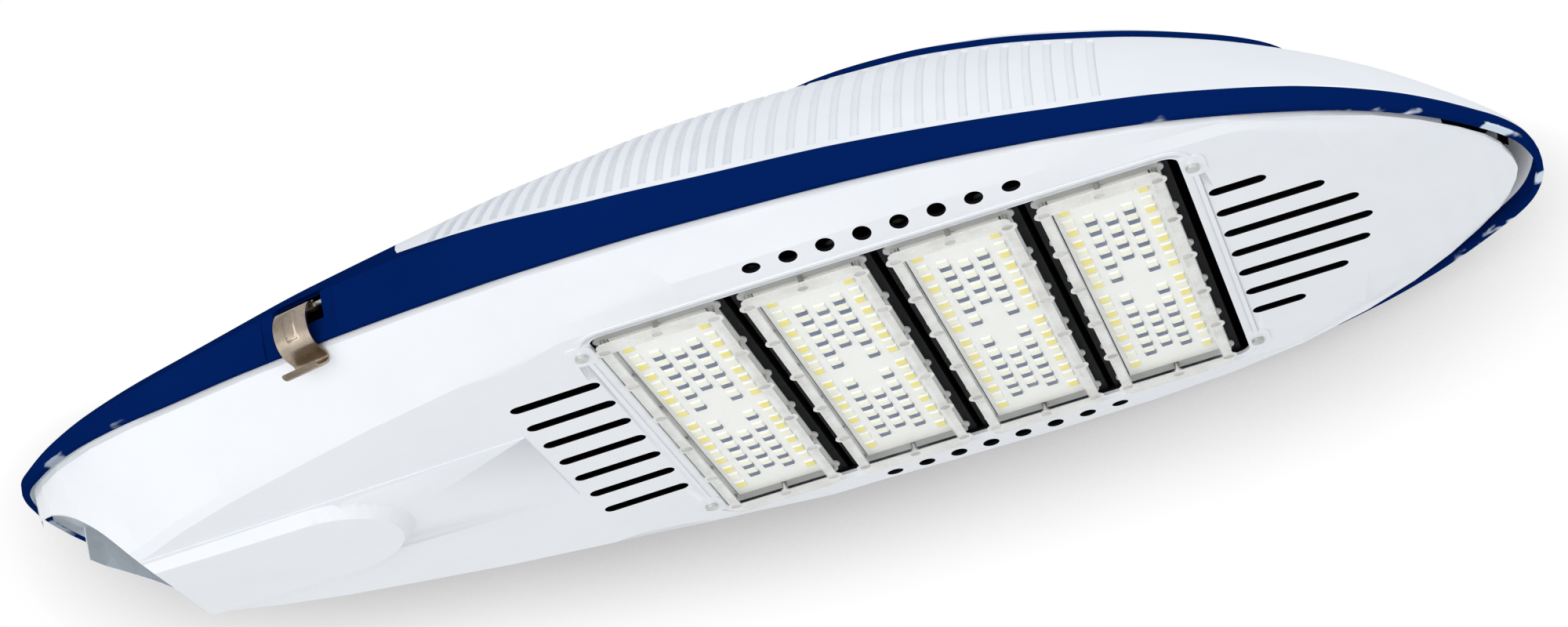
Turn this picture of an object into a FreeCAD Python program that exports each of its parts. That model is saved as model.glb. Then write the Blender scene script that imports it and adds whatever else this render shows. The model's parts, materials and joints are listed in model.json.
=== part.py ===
"""LED street light head: a long boat-shaped head on a pole arm, with four LED modules.

Lengths are in millimetres. The work frame has +X towards the nose, +Z up and the lamp
symmetric about y = 0. Its x = 0 is the middle of the row of modules, and its z = 0 is the
face of the lens plates. On export everything moves so that the origin is the middle of the
pole socket, on the axis of the pole.
"""
import FreeCAD, Part
import math
import os
from FreeCAD import Vector

# Shape of the upper shell, as (x, size) pairs from the tail to the nose.
HALF_WIDTH = [(-523, 9), (-520, 31), (-513, 53), (-500, 73), (-480, 96), (-450, 120.5), (-420, 137),
              (-385, 151), (-340, 168), (-290, 183), (-230, 197), (-170, 206.5), (-100, 211), (-30, 209),
              (40, 204), (100, 195), (150, 183), (195, 166), (238, 144), (270, 122), (295, 99),
              (315, 76), (329, 57), (337, 41), (342, 23), (344, 10)]
RIM_HEIGHT = [(-523, 65), (-518, 63), (-510, 60), (-490, 54.3), (-450, 47.3), (-400, 41.5), (-350, 37),
              (-300, 33), (-200, 26.5), (-100, 22), (0, 18.5), (100, 13.8), (200, 9.2), (300, 4.6),
              (344, 0.8)]
BAND_HEIGHT = [(-523, 5), (-480, 8), (-440, 12), (-350, 20), (-300, 25), (-190, 30), (-126, 25), (-67, 22),
               (0, 20), (60, 17), (170, 14), (230, 13), (284, 10), (344, 6)]
CROWN_HEIGHT = [(-523, 72), (-510, 84), (-480, 94), (-440, 99), (-400, 105), (-350, 111), (-300, 118),
                (-240, 126), (-190, 135), (-126, 146), (-34, 160), (33, 164), (77, 160), (138, 145),
                (195, 123), (238, 101), (275, 78), (306, 54), (330, 33), (340, 21), (344, 13)]
SECTION_POWER = [(-523, 2.4), (-126, 2.4), (-34, 1.95), (33, 1.72), (150, 1.6), (344, 1.55)]
BAND_LEAN = 1.5
SKIRT_DEPTH = 40.0
ARCH_STEPS = 14
GROOVE_STEPS = 12

# Upper shell wall, crown cap and grooves.
SHELL_WALL = 3.4
CAP_RISE = 3.8
CAP_CENTRE_X = 82.0
CAP_HALF_LENGTH = 152.0
CAP_HALF_WIDTH = 80.0
GROOVE_WIDTH = 4.6
REAR_GROOVE_START = -214.0
REAR_GROOVE_PITCH = 9.0
REAR_GROOVE_COUNT = 19
REAR_GROOVE_DEPTH = 2.4
FRONT_GROOVE_PITCH = 11.0
FRONT_GROOVE_COUNT = 17
FRONT_GROOVE_DEPTH = 1.5
GROOVE_BAND_MARGIN = 5.0
GROOVE_CAP_MARGIN = 9.0

# Lower cover: half width of its flat face, face height, walls and the tail cut.
FACE_HALF_WIDTH = [(-523, 24), (-450, 51), (-400, 80), (-348, 100), (-302, 117), (-239, 135), (-180, 149),
                   (-150, 152.5), (-100, 154), (100, 154), (176, 153), (197, 150), (242, 115),
                   (280, 83), (305, 57), (320, 38), (329, 22), (334, 10)]
BEVEL_OUT = [(-523, 8), (-200, 8), (-100, 20), (20, 20), (100, 16), (170, 9), (344, 8)]
BEVEL_UP = [(-523, 3.5), (-200, 3.5), (-100, 2), (100, 2), (200, 3), (344, 3)]
FACE_FRONT_Z = 4.4
FACE_TAIL_Z = 0.0
FACE_TAIL_X = -450.0
FACE_FLAT_X = -160.0
COVER_WALL = 1.8
COVER_GAP = 2.4
COVER_EDGE_MIN_RISE = 1.5
COVER_LIP = 4.5
NOSE_SETBACK = 13.0
NOSE_SETBACK_START = 100.0
TAIL_CUT = [(-440, -12), (-446.4, -6), (-451.3, 0), (-463.7, 16.2), (-476.6, 28.4), (-490.3, 37.4),
            (-505.9, 44.3), (-535, 53)]
STRIP_HALF_WIDTH = 50.0
STRIP_RISE = 0.6
STRIP_END_X = -222.0
TONGUE_HALF_WIDTH = 50.0
TONGUE_TAPER = 9.0
TONGUE_BOTTOM_Z = -5.5
TONGUE_END_X = -306.0

# Openings of the lower cover.
OPENING_X0 = -156.0
OPENING_X1 = 163.2
OPENING_HALF_WIDTH = 143.6
OPENING_RADIUS = 8.0
BEAD_START = 5.0
BEAD_WIDTH = 2.6
BEAD_RISE = 0.8
CORNER_PAD_LENGTH = 15.0
CORNER_PAD_WIDTH = 24.0
SLOT_WIDTH = 9.0
SLOT_PITCH = 28.7
SLOT_LAND = 0.8
SLOT_RELIEF = 2.2
TAIL_SLOT_X0 = -217.6
TAIL_SLOT_X1 = -166.4
NOSE_SLOT_X0 = 172.0
NOSE_SLOT_ENDS = [251.0, 246.5, 231.0, 203.0]
VENT_COUNT = 8
VENT_PITCH = 19.88
VENT_CENTRE_X = 11.0
VENT_Y = 165.5
VENT_WIDTH = 9.8
VENT_LENGTH_END = 10.2
VENT_LENGTH_MID = 14.5

# LED modules.
MODULE_COUNT = 4
MODULE_PITCH = 80.0
LENS_WIDTH = 66.0
LENS_LENGTH = 284.0
LENS_FLOOR = 3.6
LENS_CORNER = 5.0
EAR_RADIUS = 5.2
SCREW_COLUMN = 30.2
SCREW_ROW_PITCH = 52.34
SCREW_ROWS = 6
END_SCREW_Y = 134.0
SCREW_SHANK_R = 1.5
SCREW_HEAD_R = 2.8
SCREW_HEAD_H = 2.0
SCREW_HEAD_SINK = 0.2
SCREW_TIP_DEPTH = 3.0
HOLE_FIT = 0.05
HEAD_FIT = 0.2
BOARD_WIDTH = 54.0
BOARD_LENGTH = 262.0
BOARD_THICK = 1.6
BOARD_CLEARANCE = 0.8
SEAL_THICK = 1.0
CHIP_WIDTH = 5.4
CHIP_LENGTH = 5.8
CHIP_THICK = 1.0
CHIP_OUTER_X = 21.3
CHIP_INNER_X = 10.5
CHIP_OUTER_ROWS = [10.8, 21.6, 33.4, 46.2, 58.4, 70.6, 87.0, 99.0, 114.2]
CHIP_INNER_ROWS = [17.0, 36.6, 52.8, 68.8, 84.6, 98.0]
CHIP_CENTRE_ROWS = [42.0, 58.6, 75.0, 91.4]
SINK_BASE_WIDTH = 76.0
SINK_BASE_LENGTH = 300.0
SINK_BASE_THICK = 4.0
FIN_COUNT = 10
FIN_PITCH = 7.6
FIN_THICK = 1.8
FIN_HEIGHT = 24.0
FIN_LENGTH = 282.0

# Module frame: a sheet ring on the inner face of the cover.
FRAME_SHEET = 2.0
FRAME_MARGIN = 0.5
FRAME_SIDE = 7.8
FRAME_HALF_WIDTH = 151.0
FRAME_CORNER = 5.0
FRAME_TAB_LENGTH = 8.0
FRAME_TAB_WIDTH = 22.0
CORNER_SCREW_X0 = -163.8
CORNER_SCREW_X1 = 169.0
CORNER_SCREW_Y = 127.0
CORNER_SHANK_R = 2.0
CORNER_HEAD_R = 3.6
CORNER_HEAD_H = 2.0
CORNER_BOSS_R = 3.8
CORNER_BOSS_H = 4.0
MODULE_SCREW_X = 22.0
MODULE_SCREW_Y = 147.0

# Nose hinge.
HINGE_X = 321.0
HINGE_Z = 11.4
HINGE_PIN_R = 2.0
HINGE_PIN_HEAD_R = 3.4
HINGE_PIN_HEAD_H = 1.5
HINGE_FIT = 0.05
KNUCKLE_R = 4.0
COVER_KNUCKLE_Y0 = 14.0
COVER_KNUCKLE_Y1 = 24.0
HINGE_SIDE_GAP = 0.4
SHELL_KNUCKLE_LENGTH = 8.0
LIP_CUT_LENGTH = 24.0

# Side latch, in a frame of its own: s runs outwards from the shell, z up.
LATCH_X = -296.0
LATCH_TURN = 14.6
LATCH_WIDTH = 21.0
LATCH_SHEET = 1.4
LATCH_PIN_R = 1.5
LATCH_PIN_S = -4.6
LATCH_PIN_Z = 54.0
LATCH_PIN_HOLD = 6.0
LATCH_EYE_R = 3.0
LATCH_FIT = 0.05
LATCH_CURVE = [(-1.6, 54.6), (1.6, 53.4), (4.6, 49.8), (6.6, 45.0), (7.0, 39.5), (5.6, 34.4), (3.0, 30.9),
               (-0.4, 29.0), (-4.4, 27.9), (-7.4, 26.6), (-8.4, 24.4), (-7.0, 22.0), (-3.4, 19.4), (0.6, 17.2),
               (3.6, 16.4), (6.2, 17.4)]
LATCH_RIB_WIDTH = 6.0
LATCH_RIB_RISE = 1.1
LATCH_RIB_FIRST = 2
LATCH_RIB_LAST = 6
SLOT_SPARE = 5.0
SLOT_LOW_Z = 44.0
SLOT_HIGH_Z = 62.5
PAD_BACK_S = -9.0
PAD_LOW_Z = 41.5
PAD_HIGH_Z = 65.5
RECESS_SIDE = 8.0
RECESS_S = -2.4
RECESS_RADIUS = 9.0

# Pole clamp.
SOCKET_X = -395.0
SOCKET_Z = 31.0
POLE_R = 30.0
POLE_FIT = 0.1
SADDLE_LENGTH = 96.0
SADDLE_WALL = 5.0
FLANGE_OUT = 18.0
FLANGE_THICK = 6.0
FLANGE_GAP = 2.0
STRAP_LENGTH = 78.0
STRAP_THICK = 2.6
CLAMP_BOLT_R = 4.0
CLAMP_BOLT_HEAD_R = 6.5
CLAMP_BOLT_HEAD_H = 5.3
CLAMP_BOLT_SPACING = 54.0
CLAMP_BOLT_Y = 44.0
CLAMP_BOLT_DEPTH = 20.0
PILLAR_R = 8.0
TIP_NOTCH_GAP = 1.0

# Driver tray and what it carries.
TRAY_Z = 98.0
TRAY_SHEET = 2.0
TRAY_X0 = -270.0
TRAY_X1 = 92.0
TRAY_HALF_WIDTH = 44.0
TRAY_POST_R = 4.5
TRAY_POST_X0 = -258.0
TRAY_POST_X1 = 80.0
TRAY_POST_Y = 36.0
TRAY_SCREW_DEPTH = 8.0
TRAY_EDGE = 10.0
DRIVER_LENGTH = 196.0
DRIVER_WIDTH = 62.0
DRIVER_HEIGHT = 37.0
DRIVER_X = -40.0
DRIVER_TAB = 11.0
DRIVER_TAB_THICK = 4.0
DRIVER_TAB_SCREW_Y = 22.0
DRIVER_CORNER = 4.0
SURGE_LENGTH = 42.0
SURGE_WIDTH = 38.0
SURGE_HEIGHT = 26.0
SURGE_X = -184.0
TERMINAL_LENGTH = 20.0
TERMINAL_WIDTH = 54.0
TERMINAL_HEIGHT = 20.0
TERMINAL_X = -232.0
TERMINAL_WAYS = 5
TERMINAL_WELL_R = 3.0
TERMINAL_WELL_DEPTH = 4.0


def curve_through(points):
    """Returns a smooth function through the points that never overshoots them."""
    xs = [p[0] for p in points]
    ys = [p[1] for p in points]
    slopes = [(ys[i + 1] - ys[i]) / (xs[i + 1] - xs[i]) for i in range(len(xs) - 1)]
    inner = [2 * a * b / (a + b) if a * b > 0 else 0.0 for a, b in zip(slopes, slopes[1:])]
    tangents = [slopes[0]] + inner + [slopes[-1]]

    def value(x):
        x = min(max(x, xs[0]), xs[-1])
        i = max(j for j in range(len(xs) - 1) if xs[j] <= x)
        span = xs[i + 1] - xs[i]
        t = (x - xs[i]) / span
        low = (1 + 2 * t) * (1 - t) ** 2 * ys[i] + t * (1 - t) ** 2 * span * tangents[i]
        high = t * t * (3 - 2 * t) * ys[i + 1] + t * t * (t - 1) * span * tangents[i + 1]
        return low + high

    return value


half_width = curve_through(HALF_WIDTH)
rim_height = curve_through(RIM_HEIGHT)
band_height = curve_through(BAND_HEIGHT)
crown_height = curve_through(CROWN_HEIGHT)
section_power = curve_through(SECTION_POWER)
face_half_width = curve_through(FACE_HALF_WIDTH)
bevel_out = curve_through(BEVEL_OUT)
bevel_up = curve_through(BEVEL_UP)

TAIL_X = HALF_WIDTH[0][0]
NOSE_X = HALF_WIDTH[-1][0]
HULL_STATIONS = [p[0] for p in HALF_WIDTH]


def wire_through(corners):
    """Returns a closed wire of straight edges."""
    return Part.makePolygon([Vector(*c) for c in corners] + [Vector(*corners[0])])


def prism_xz(corners, half_depth):
    """Returns a solid from an outline in x and z, spread to both sides of y = 0."""
    outline = wire_through([(x, -half_depth, z) for x, z in corners])
    return Part.Face(outline).extrude(Vector(0, 2 * half_depth, 0))


def box(x0, x1, y0, y1, z0, z1):
    return Part.makeBox(x1 - x0, y1 - y0, z1 - z0, Vector(x0, y0, z0))


def rounded_box(x0, x1, y0, y1, z0, z1, radius):
    """Returns a box with rounded vertical edges."""
    block = box(x0, x1, y0, y1, z0, z1)
    upright = [e for e in block.Edges if abs(e.Vertexes[0].Z - e.Vertexes[1].Z) > 1e-6]
    return block.makeFillet(radius, upright)


def cylinder_z(x, y, z0, z1, radius):
    return Part.makeCylinder(radius, z1 - z0, Vector(x, y, z0), Vector(0, 0, 1))


def cylinder_y(x, z, y0, y1, radius):
    return Part.makeCylinder(radius, y1 - y0, Vector(x, y0, z), Vector(0, 1, 0))


def cylinder_x(y, z, x0, x1, radius):
    return Part.makeCylinder(radius, x1 - x0, Vector(x0, y, z), Vector(1, 0, 0))


def fuse_all(shapes):
    """Returns the shapes joined into one clean solid."""
    return shapes[0].multiFuse(shapes[1:]).removeSplitter()


def only_solid(shape):
    """Returns the largest solid of a shape, which drops stray slivers of a cut."""
    return max(shape.Solids, key=lambda s: s.Volume)


def hull_section(x, inset):
    """Returns the closed outline across the upper shell at x, set in by inset."""
    station = x
    middle = (TAIL_X + NOSE_X) / 2
    place = middle + (x - middle) * (1 - 2 * inset / (NOSE_X - TAIL_X))
    width = max(half_width(station) - inset, 3.0)
    shoulder = max(width - BAND_LEAN, 2.0)
    top = crown_height(station) - inset
    band_top = min(rim_height(station) + band_height(station), top - 2.0)
    foot = rim_height(station) - SKIRT_DEPTH - inset
    power = section_power(station)
    arch = []
    for i in range(ARCH_STEPS + 1):
        share = -math.cos(math.pi * i / ARCH_STEPS)
        rise = (top - band_top) * (1 - abs(share) ** power)
        arch.append(Vector(place, shoulder * share, band_top + rise))
    crown = Part.BSplineCurve()
    crown.interpolate(arch)
    near_foot = Vector(place, -width, foot)
    far_foot = Vector(place, width, foot)
    edges = [Part.makeLine(far_foot, near_foot), Part.makeLine(near_foot, arch[0]),
             crown.toShape(), Part.makeLine(arch[-1], far_foot)]
    return Part.Wire(edges)


def hull(inset):
    """Returns the solid inside the upper shell, set in by inset, with a skirt below the rim."""
    return Part.makeLoft([hull_section(x, inset) for x in HULL_STATIONS], True, True)


def below_curve(height, raise_by, half_depth=300.0):
    """Returns the solid below the side-view curve height(x), raised by raise_by."""
    steps = 40
    first = TAIL_X - 20.0
    last = NOSE_X + 20.0
    xs = [first + (last - first) * i / steps for i in range(steps + 1)]
    points = [Vector(x, -half_depth, height(x) + raise_by) for x in xs]
    line = Part.BSplineCurve()
    line.interpolate(points)
    low = -100.0
    foot = [Vector(last, -half_depth, low), Vector(first, -half_depth, low)]
    edges = [line.toShape(), Part.makeLine(points[-1], foot[0]), Part.makeLine(foot[0], foot[1]),
             Part.makeLine(foot[1], points[0])]
    return Part.Face(Part.Wire(edges)).extrude(Vector(0, 2 * half_depth, 0))


def oval_prism(x, y, half_x, half_y, z0, z1):
    """Returns an upright solid with an oval plan."""
    ends = [Vector(x + half_x, y, z0), Vector(x, y + half_y, z0)]
    if half_y > half_x:
        ends.reverse()
    oval = Part.Ellipse(ends[0], ends[1], Vector(x, y, z0))
    return Part.Face(Part.Wire(oval.toShape())).extrude(Vector(0, 0, z1 - z0))


def band_top_height(x):
    return rim_height(x) + band_height(x)


def groove_slab(x, depth, foot_margin, end_share):
    """Returns one cross groove: a thin slab across the shell at x, as deep as depth.

    It reaches from foot_margin above the blue band up to end_share of the half width.
    """
    width = half_width(x) - BAND_LEAN
    foot = band_top_height(x) + foot_margin
    top = crown_height(x)
    low = band_top_height(x)
    power = section_power(x)
    start_share = max(0.02, 1 - (foot - low) / (top - low)) ** (1 / power)
    cuts = []
    for side in (-1, 1):
        outside = []
        inside = []
        for i in range(GROOVE_STEPS + 1):
            share = max(start_share + (end_share - start_share) * (i / GROOVE_STEPS) ** 1.4, 0.0)
            rise = (top - low) * (1 - share ** power)
            slope = (top - low) * power * share ** (power - 1) / width
            length = math.hypot(1.0, slope)
            y = width * share
            z = low + rise
            outside.append(Vector(x - GROOVE_WIDTH / 2, side * (y + 3.0 * slope / length), z + 3.0 / length))
            inside.append(Vector(x - GROOVE_WIDTH / 2, side * (y - depth * slope / length), z - depth / length))
        upper = Part.BSplineCurve()
        upper.interpolate(outside)
        lower = Part.BSplineCurve()
        lower.interpolate(inside)
        edges = [lower.toShape(), Part.makeLine(inside[-1], outside[-1]), upper.toShape(),
                 Part.makeLine(outside[0], inside[0])]
        outline = Part.Wire(Part.__sortEdges__(edges))
        cuts.append(Part.Face(outline).extrude(Vector(GROOVE_WIDTH, 0, 0)))
    return cuts


def cap_share(x):
    """Returns where the grooves at x end below the crown cap, as a share of the half width."""
    reach = CAP_HALF_LENGTH + GROOVE_CAP_MARGIN
    along = (x - CAP_CENTRE_X) / reach
    if abs(along) >= 1:
        return 0.0
    half = (CAP_HALF_WIDTH + GROOVE_CAP_MARGIN) * math.sqrt(1 - along * along)
    return half / (half_width(x) - BAND_LEAN)


def grooves():
    """Returns the cross grooves of the upper shell as separate slabs to cut."""
    rear_end = REAR_GROOVE_START + REAR_GROOVE_PITCH * (REAR_GROOVE_COUNT - 1)
    cuts = []
    for i in range(REAR_GROOVE_COUNT):
        x = REAR_GROOVE_START + REAR_GROOVE_PITCH * i
        cuts.extend(groove_slab(x, REAR_GROOVE_DEPTH, GROOVE_BAND_MARGIN, cap_share(x)))
    for i in range(FRONT_GROOVE_COUNT):
        x = rear_end + FRONT_GROOVE_PITCH * (i + 1)
        cuts.extend(groove_slab(x, FRONT_GROOVE_DEPTH, GROOVE_BAND_MARGIN, cap_share(x)))
    return cuts


def latch_place(shape):
    """Moves a shape from the latch's own frame to the near side of the lamp.

    In its own frame the latch's width runs along x, s runs along -y (outwards) and z is up.
    """
    placed = shape.copy()
    placed.rotate(Vector(0, 0, 0), Vector(0, 0, 1), -LATCH_TURN)
    placed.translate(Vector(LATCH_X, -half_width(LATCH_X), 0))
    return placed


def latch_slot_half():
    return LATCH_WIDTH / 2 + SLOT_SPARE


def latch_pad():
    """Returns the thick patch inside the shell round the latch slot, in the latch's frame."""
    half = latch_slot_half() + LATCH_PIN_HOLD
    return box(-half, half, 0.5, -PAD_BACK_S, PAD_LOW_Z, PAD_HIGH_Z)


def latch_cuts():
    """Returns the slot, the shallow recess round it and the pin bore, in the latch's frame."""
    half = latch_slot_half()
    slot = box(-half, half, -20.0, -PAD_BACK_S + 1.0, SLOT_LOW_Z, SLOT_HIGH_Z)
    recess_half = half + RECESS_SIDE
    recess = box(-recess_half, recess_half, -20.0, -RECESS_S, 0.0, PAD_HIGH_Z + 6.0)
    corners = [e for e in recess.Edges if abs(e.Vertexes[0].Y - e.Vertexes[1].Y) > 1e-6
               and e.Vertexes[0].Z > PAD_HIGH_Z]
    recess = recess.makeFillet(RECESS_RADIUS, corners)
    reach = half + LATCH_PIN_HOLD + 1.0
    bore = cylinder_x(-LATCH_PIN_S, LATCH_PIN_Z, -reach, reach, LATCH_PIN_R + LATCH_FIT)
    return [slot, recess, bore]


def hinge_lug(side, core):
    """Returns one of the two ears inside the nose of the shell that hold the hinge pin."""
    y0 = side * (COVER_KNUCKLE_Y1 + HINGE_SIDE_GAP)
    y1 = y0 + side * SHELL_KNUCKLE_LENGTH
    low, high = sorted((y0, y1))
    lug = cylinder_y(HINGE_X, HINGE_Z, low, high, KNUCKLE_R)
    arm = box(HINGE_X - KNUCKLE_R, HINGE_X + KNUCKLE_R, low, high, HINGE_Z, 60.0)
    bore = cylinder_y(HINGE_X, HINGE_Z, low - 1, high + 1, HINGE_PIN_R + HINGE_FIT)
    return lug.fuse(arm).common(core).cut(bore)


def clamp_bolt_places():
    half = CLAMP_BOLT_SPACING / 2
    return [(SOCKET_X + sx * half, sy * CLAMP_BOLT_Y) for sx in (-1, 1) for sy in (-1, 1)]


def tray_post_places():
    return [(x, sy * TRAY_POST_Y) for x in (TRAY_POST_X0, TRAY_POST_X1) for sy in (-1, 1)]


def upper_housing():
    """Returns the upper shell with its band, grooves, crown cap, bosses, ears and slots."""
    inner = hull(SHELL_WALL)
    core = hull(SHELL_WALL / 2)
    shell = hull(0.0).cut(inner)
    cap = oval_prism(CAP_CENTRE_X, 0.0, CAP_HALF_LENGTH, CAP_HALF_WIDTH, 60.0, 250.0)
    cap = cap.common(hull(-CAP_RISE)).cut(inner)
    shell = shell.fuse(cap)
    shell = shell.cut(grooves())
    shell = shell.cut(below_curve(rim_height, 0.0))
    posts = []
    for x, y in tray_post_places():
        post = cylinder_z(x, y, TRAY_Z + TRAY_SHEET, 240.0, TRAY_POST_R).common(core)
        hole = cylinder_z(x, y, TRAY_Z, TRAY_Z + TRAY_SHEET + TRAY_SCREW_DEPTH, CORNER_SHANK_R + HOLE_FIT)
        posts.append(post.cut(hole))
    flange_top = SOCKET_Z + FLANGE_GAP / 2 + FLANGE_THICK
    for x, y in clamp_bolt_places():
        pillar = cylinder_z(x, y, flange_top, 240.0, PILLAR_R).common(core)
        hole = cylinder_z(x, y, flange_top - 1, flange_top + CLAMP_BOLT_DEPTH + 1, CLAMP_BOLT_R + HOLE_FIT)
        posts.append(pillar.cut(hole))
    tools = [cylinder_x(0.0, SOCKET_Z, TAIL_X - 10, TAIL_X + 60, POLE_R + TIP_NOTCH_GAP)]
    posts.extend([hinge_lug(side, core) for side in (-1, 1)])
    posts.append(latch_place(latch_pad()).common(core))
    tools.extend([latch_place(cut) for cut in latch_cuts()])
    shell = shell.fuse(posts)
    return only_solid(shell.cut(tools))


def hinge_pin():
    """Returns the nose hinge pin, with a head at each end."""
    half = COVER_KNUCKLE_Y1 + HINGE_SIDE_GAP + SHELL_KNUCKLE_LENGTH + HINGE_SIDE_GAP
    pin = cylinder_y(HINGE_X, HINGE_Z, -half - 0.5, half + 0.5, HINGE_PIN_R)
    near = cylinder_y(HINGE_X, HINGE_Z, -half - HINGE_PIN_HEAD_H, -half, HINGE_PIN_HEAD_R)
    far = cylinder_y(HINGE_X, HINGE_Z, half, half + HINGE_PIN_HEAD_H, HINGE_PIN_HEAD_R)
    return fuse_all([pin, near, far])


def face_height(x):
    """Returns the height of the cover's flat outer face, which slopes down towards the tail."""
    share = (FACE_FLAT_X - x) / (FACE_FLAT_X - FACE_TAIL_X)
    share = min(max(share, 0.0), 1.0)
    return FACE_FRONT_Z + (FACE_TAIL_Z - FACE_FRONT_Z) * share


def cover_place(rim_x):
    """Returns the x of the cover's edge that belongs to the rim at rim_x."""
    middle = (TAIL_X + NOSE_X) / 2
    if rim_x < middle:
        return rim_x + (SHELL_WALL + COVER_GAP) * (middle - rim_x) / (middle - TAIL_X)
    share = max(0.0, (rim_x - NOSE_SETBACK_START) / (NOSE_X - NOSE_SETBACK_START))
    return rim_x - NOSE_SETBACK * share * share


def cover_section(rim_x, inset):
    """Returns the closed outline across the cover, set in by inset and then open at the top."""
    x = cover_place(rim_x)
    edge = max(half_width(rim_x) - SHELL_WALL - COVER_GAP, 4.0)
    low = face_height(x)
    flat = min(face_half_width(x), edge - 2.0)
    bevel = min(flat + bevel_out(x), edge - 1.0)
    bevel_z = min(low + bevel_up(x), max(rim_height(rim_x) - 1.0, low + 0.7))
    rim_line = rim_height(rim_x) - (SHELL_WALL + COVER_GAP) * 0.5
    edge_z = max(rim_line, low + COVER_EDGE_MIN_RISE)
    top = max(rim_height(rim_x), edge_z) + COVER_LIP
    if inset > 0:
        low += inset
        bevel_z += inset
        edge_z += inset * 0.9
        top += 30.0
        edge = max(edge - inset, 1.5)
        flat = max(min(flat - 0.3 * inset, edge - 0.6), 0.5)
        bevel = max(min(bevel - 0.5 * inset, edge - 0.3), 0.8)
        place = x - inset * max(0.0, (rim_x - TAIL_X) / (NOSE_X - TAIL_X)) ** 4
    else:
        place = x
    side = [(edge, top), (edge, edge_z), (bevel, bevel_z), (flat, low)]
    outline = [(place, y, z) for y, z in side] + [(place, -y, z) for y, z in reversed(side)]
    return wire_through(outline)


def cover_hull(inset):
    return Part.makeLoft([cover_section(x, inset) for x in HULL_STATIONS], True, True)


def tongue(shrink, floor_z, top_z):
    """Returns the U-shaped boss below the pole socket, shrunk all round by shrink."""
    wires = []
    for half, z in ((TONGUE_HALF_WIDTH - shrink, top_z), (TONGUE_HALF_WIDTH - TONGUE_TAPER - shrink, floor_z)):
        centre = TONGUE_END_X - TONGUE_HALF_WIDTH
        back = TAIL_X
        far = Vector(centre, half, z)
        near = Vector(centre, -half, z)
        arc = Part.Arc(near, Vector(centre + half, 0, z), far).toShape()
        edges = [arc, Part.makeLine(far, Vector(back, half, z)),
                 Part.makeLine(Vector(back, half, z), Vector(back, -half, z)),
                 Part.makeLine(Vector(back, -half, z), near)]
        wires.append(Part.Wire(edges))
    return Part.makeLoft(wires, True, True)


def tail_cut():
    """Returns the curved wedge that hollows the tail end of the cover."""
    points = [Vector(x, -250.0, z) for x, z in TAIL_CUT]
    line = Part.BSplineCurve()
    line.interpolate(points)
    behind = [Vector(-700.0, -250.0, points[-1].z), Vector(-700.0, -250.0, points[0].z)]
    edges = [line.toShape(), Part.makeLine(points[-1], behind[0]), Part.makeLine(behind[0], behind[1]),
             Part.makeLine(behind[1], points[0])]
    return Part.Face(Part.Wire(edges)).extrude(Vector(0, 500.0, 0))


def pole_notch():
    """Returns the way in for the pole arm at the tail tip of the cover, open at the top."""
    reach = POLE_R + TIP_NOTCH_GAP
    pipe = cylinder_x(0.0, SOCKET_Z, TAIL_X - 10, TAIL_X + 30, reach)
    return pipe.fuse(box(TAIL_X - 10, TAIL_X + 30, -reach, reach, SOCKET_Z, 90.0))


def slot(x0, x1, y):
    """Returns one slot through the cover: a thin land outside, opened out behind it."""
    half = SLOT_WIDTH / 2
    land = rounded_box(x0, x1, y - half, y + half, -20, 30, half - 0.05)
    wide = half + SLOT_RELIEF
    low = min(face_height(x0), face_height(x1)) + SLOT_LAND
    relief = rounded_box(x0 - SLOT_RELIEF, x1 + SLOT_RELIEF, y - wide, y + wide, low, 30, wide - 0.05)
    return land.fuse(relief)


def cover_openings():
    """Returns the cuts through the cover: module opening, slots and vents."""
    cuts = [rounded_box(OPENING_X0, OPENING_X1, -OPENING_HALF_WIDTH, OPENING_HALF_WIDTH, -20, 30,
                        OPENING_RADIUS)]
    count = len(NOSE_SLOT_ENDS)
    for i in range(-count + 1, count):
        y = i * SLOT_PITCH
        cuts.append(slot(TAIL_SLOT_X0, TAIL_SLOT_X1, y))
        cuts.append(slot(NOSE_SLOT_X0, NOSE_SLOT_ENDS[abs(i)], y))
    for i in range(VENT_COUNT):
        along = (i - (VENT_COUNT - 1) / 2) / ((VENT_COUNT - 1) / 2)
        length = VENT_LENGTH_MID - (VENT_LENGTH_MID - VENT_LENGTH_END) * along * along
        x = VENT_CENTRE_X + (i - (VENT_COUNT - 1) / 2) * VENT_PITCH
        for side in (-1, 1):
            cuts.append(oval_prism(x, side * VENT_Y, VENT_WIDTH / 2, length / 2, -20, 40))
    return cuts


def corner_screw_places():
    return [(x, sy * CORNER_SCREW_Y) for x in (CORNER_SCREW_X0, CORNER_SCREW_X1) for sy in (-1, 1)]


def opening_bead():
    """Returns the raised line round the module opening and the pads under the corner screws."""
    start = BEAD_START
    stop = BEAD_START + BEAD_WIDTH
    low = FACE_FRONT_Z - BEAD_RISE
    high = FACE_FRONT_Z + 1.0
    outer = rounded_box(OPENING_X0 - stop, OPENING_X1 + stop, -OPENING_HALF_WIDTH - stop,
                        OPENING_HALF_WIDTH + stop, low, high, OPENING_RADIUS + stop)
    inner = rounded_box(OPENING_X0 - start, OPENING_X1 + start, -OPENING_HALF_WIDTH - start,
                        OPENING_HALF_WIDTH + start, low - 1, high + 1, OPENING_RADIUS + start)
    pads = [outer.cut(inner)]
    for x, y in corner_screw_places():
        pads.append(rounded_box(x - CORNER_PAD_LENGTH / 2, x + CORNER_PAD_LENGTH / 2, y - CORNER_PAD_WIDTH / 2,
                                y + CORNER_PAD_WIDTH / 2, low, high, 6.0))
    return pads


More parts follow.
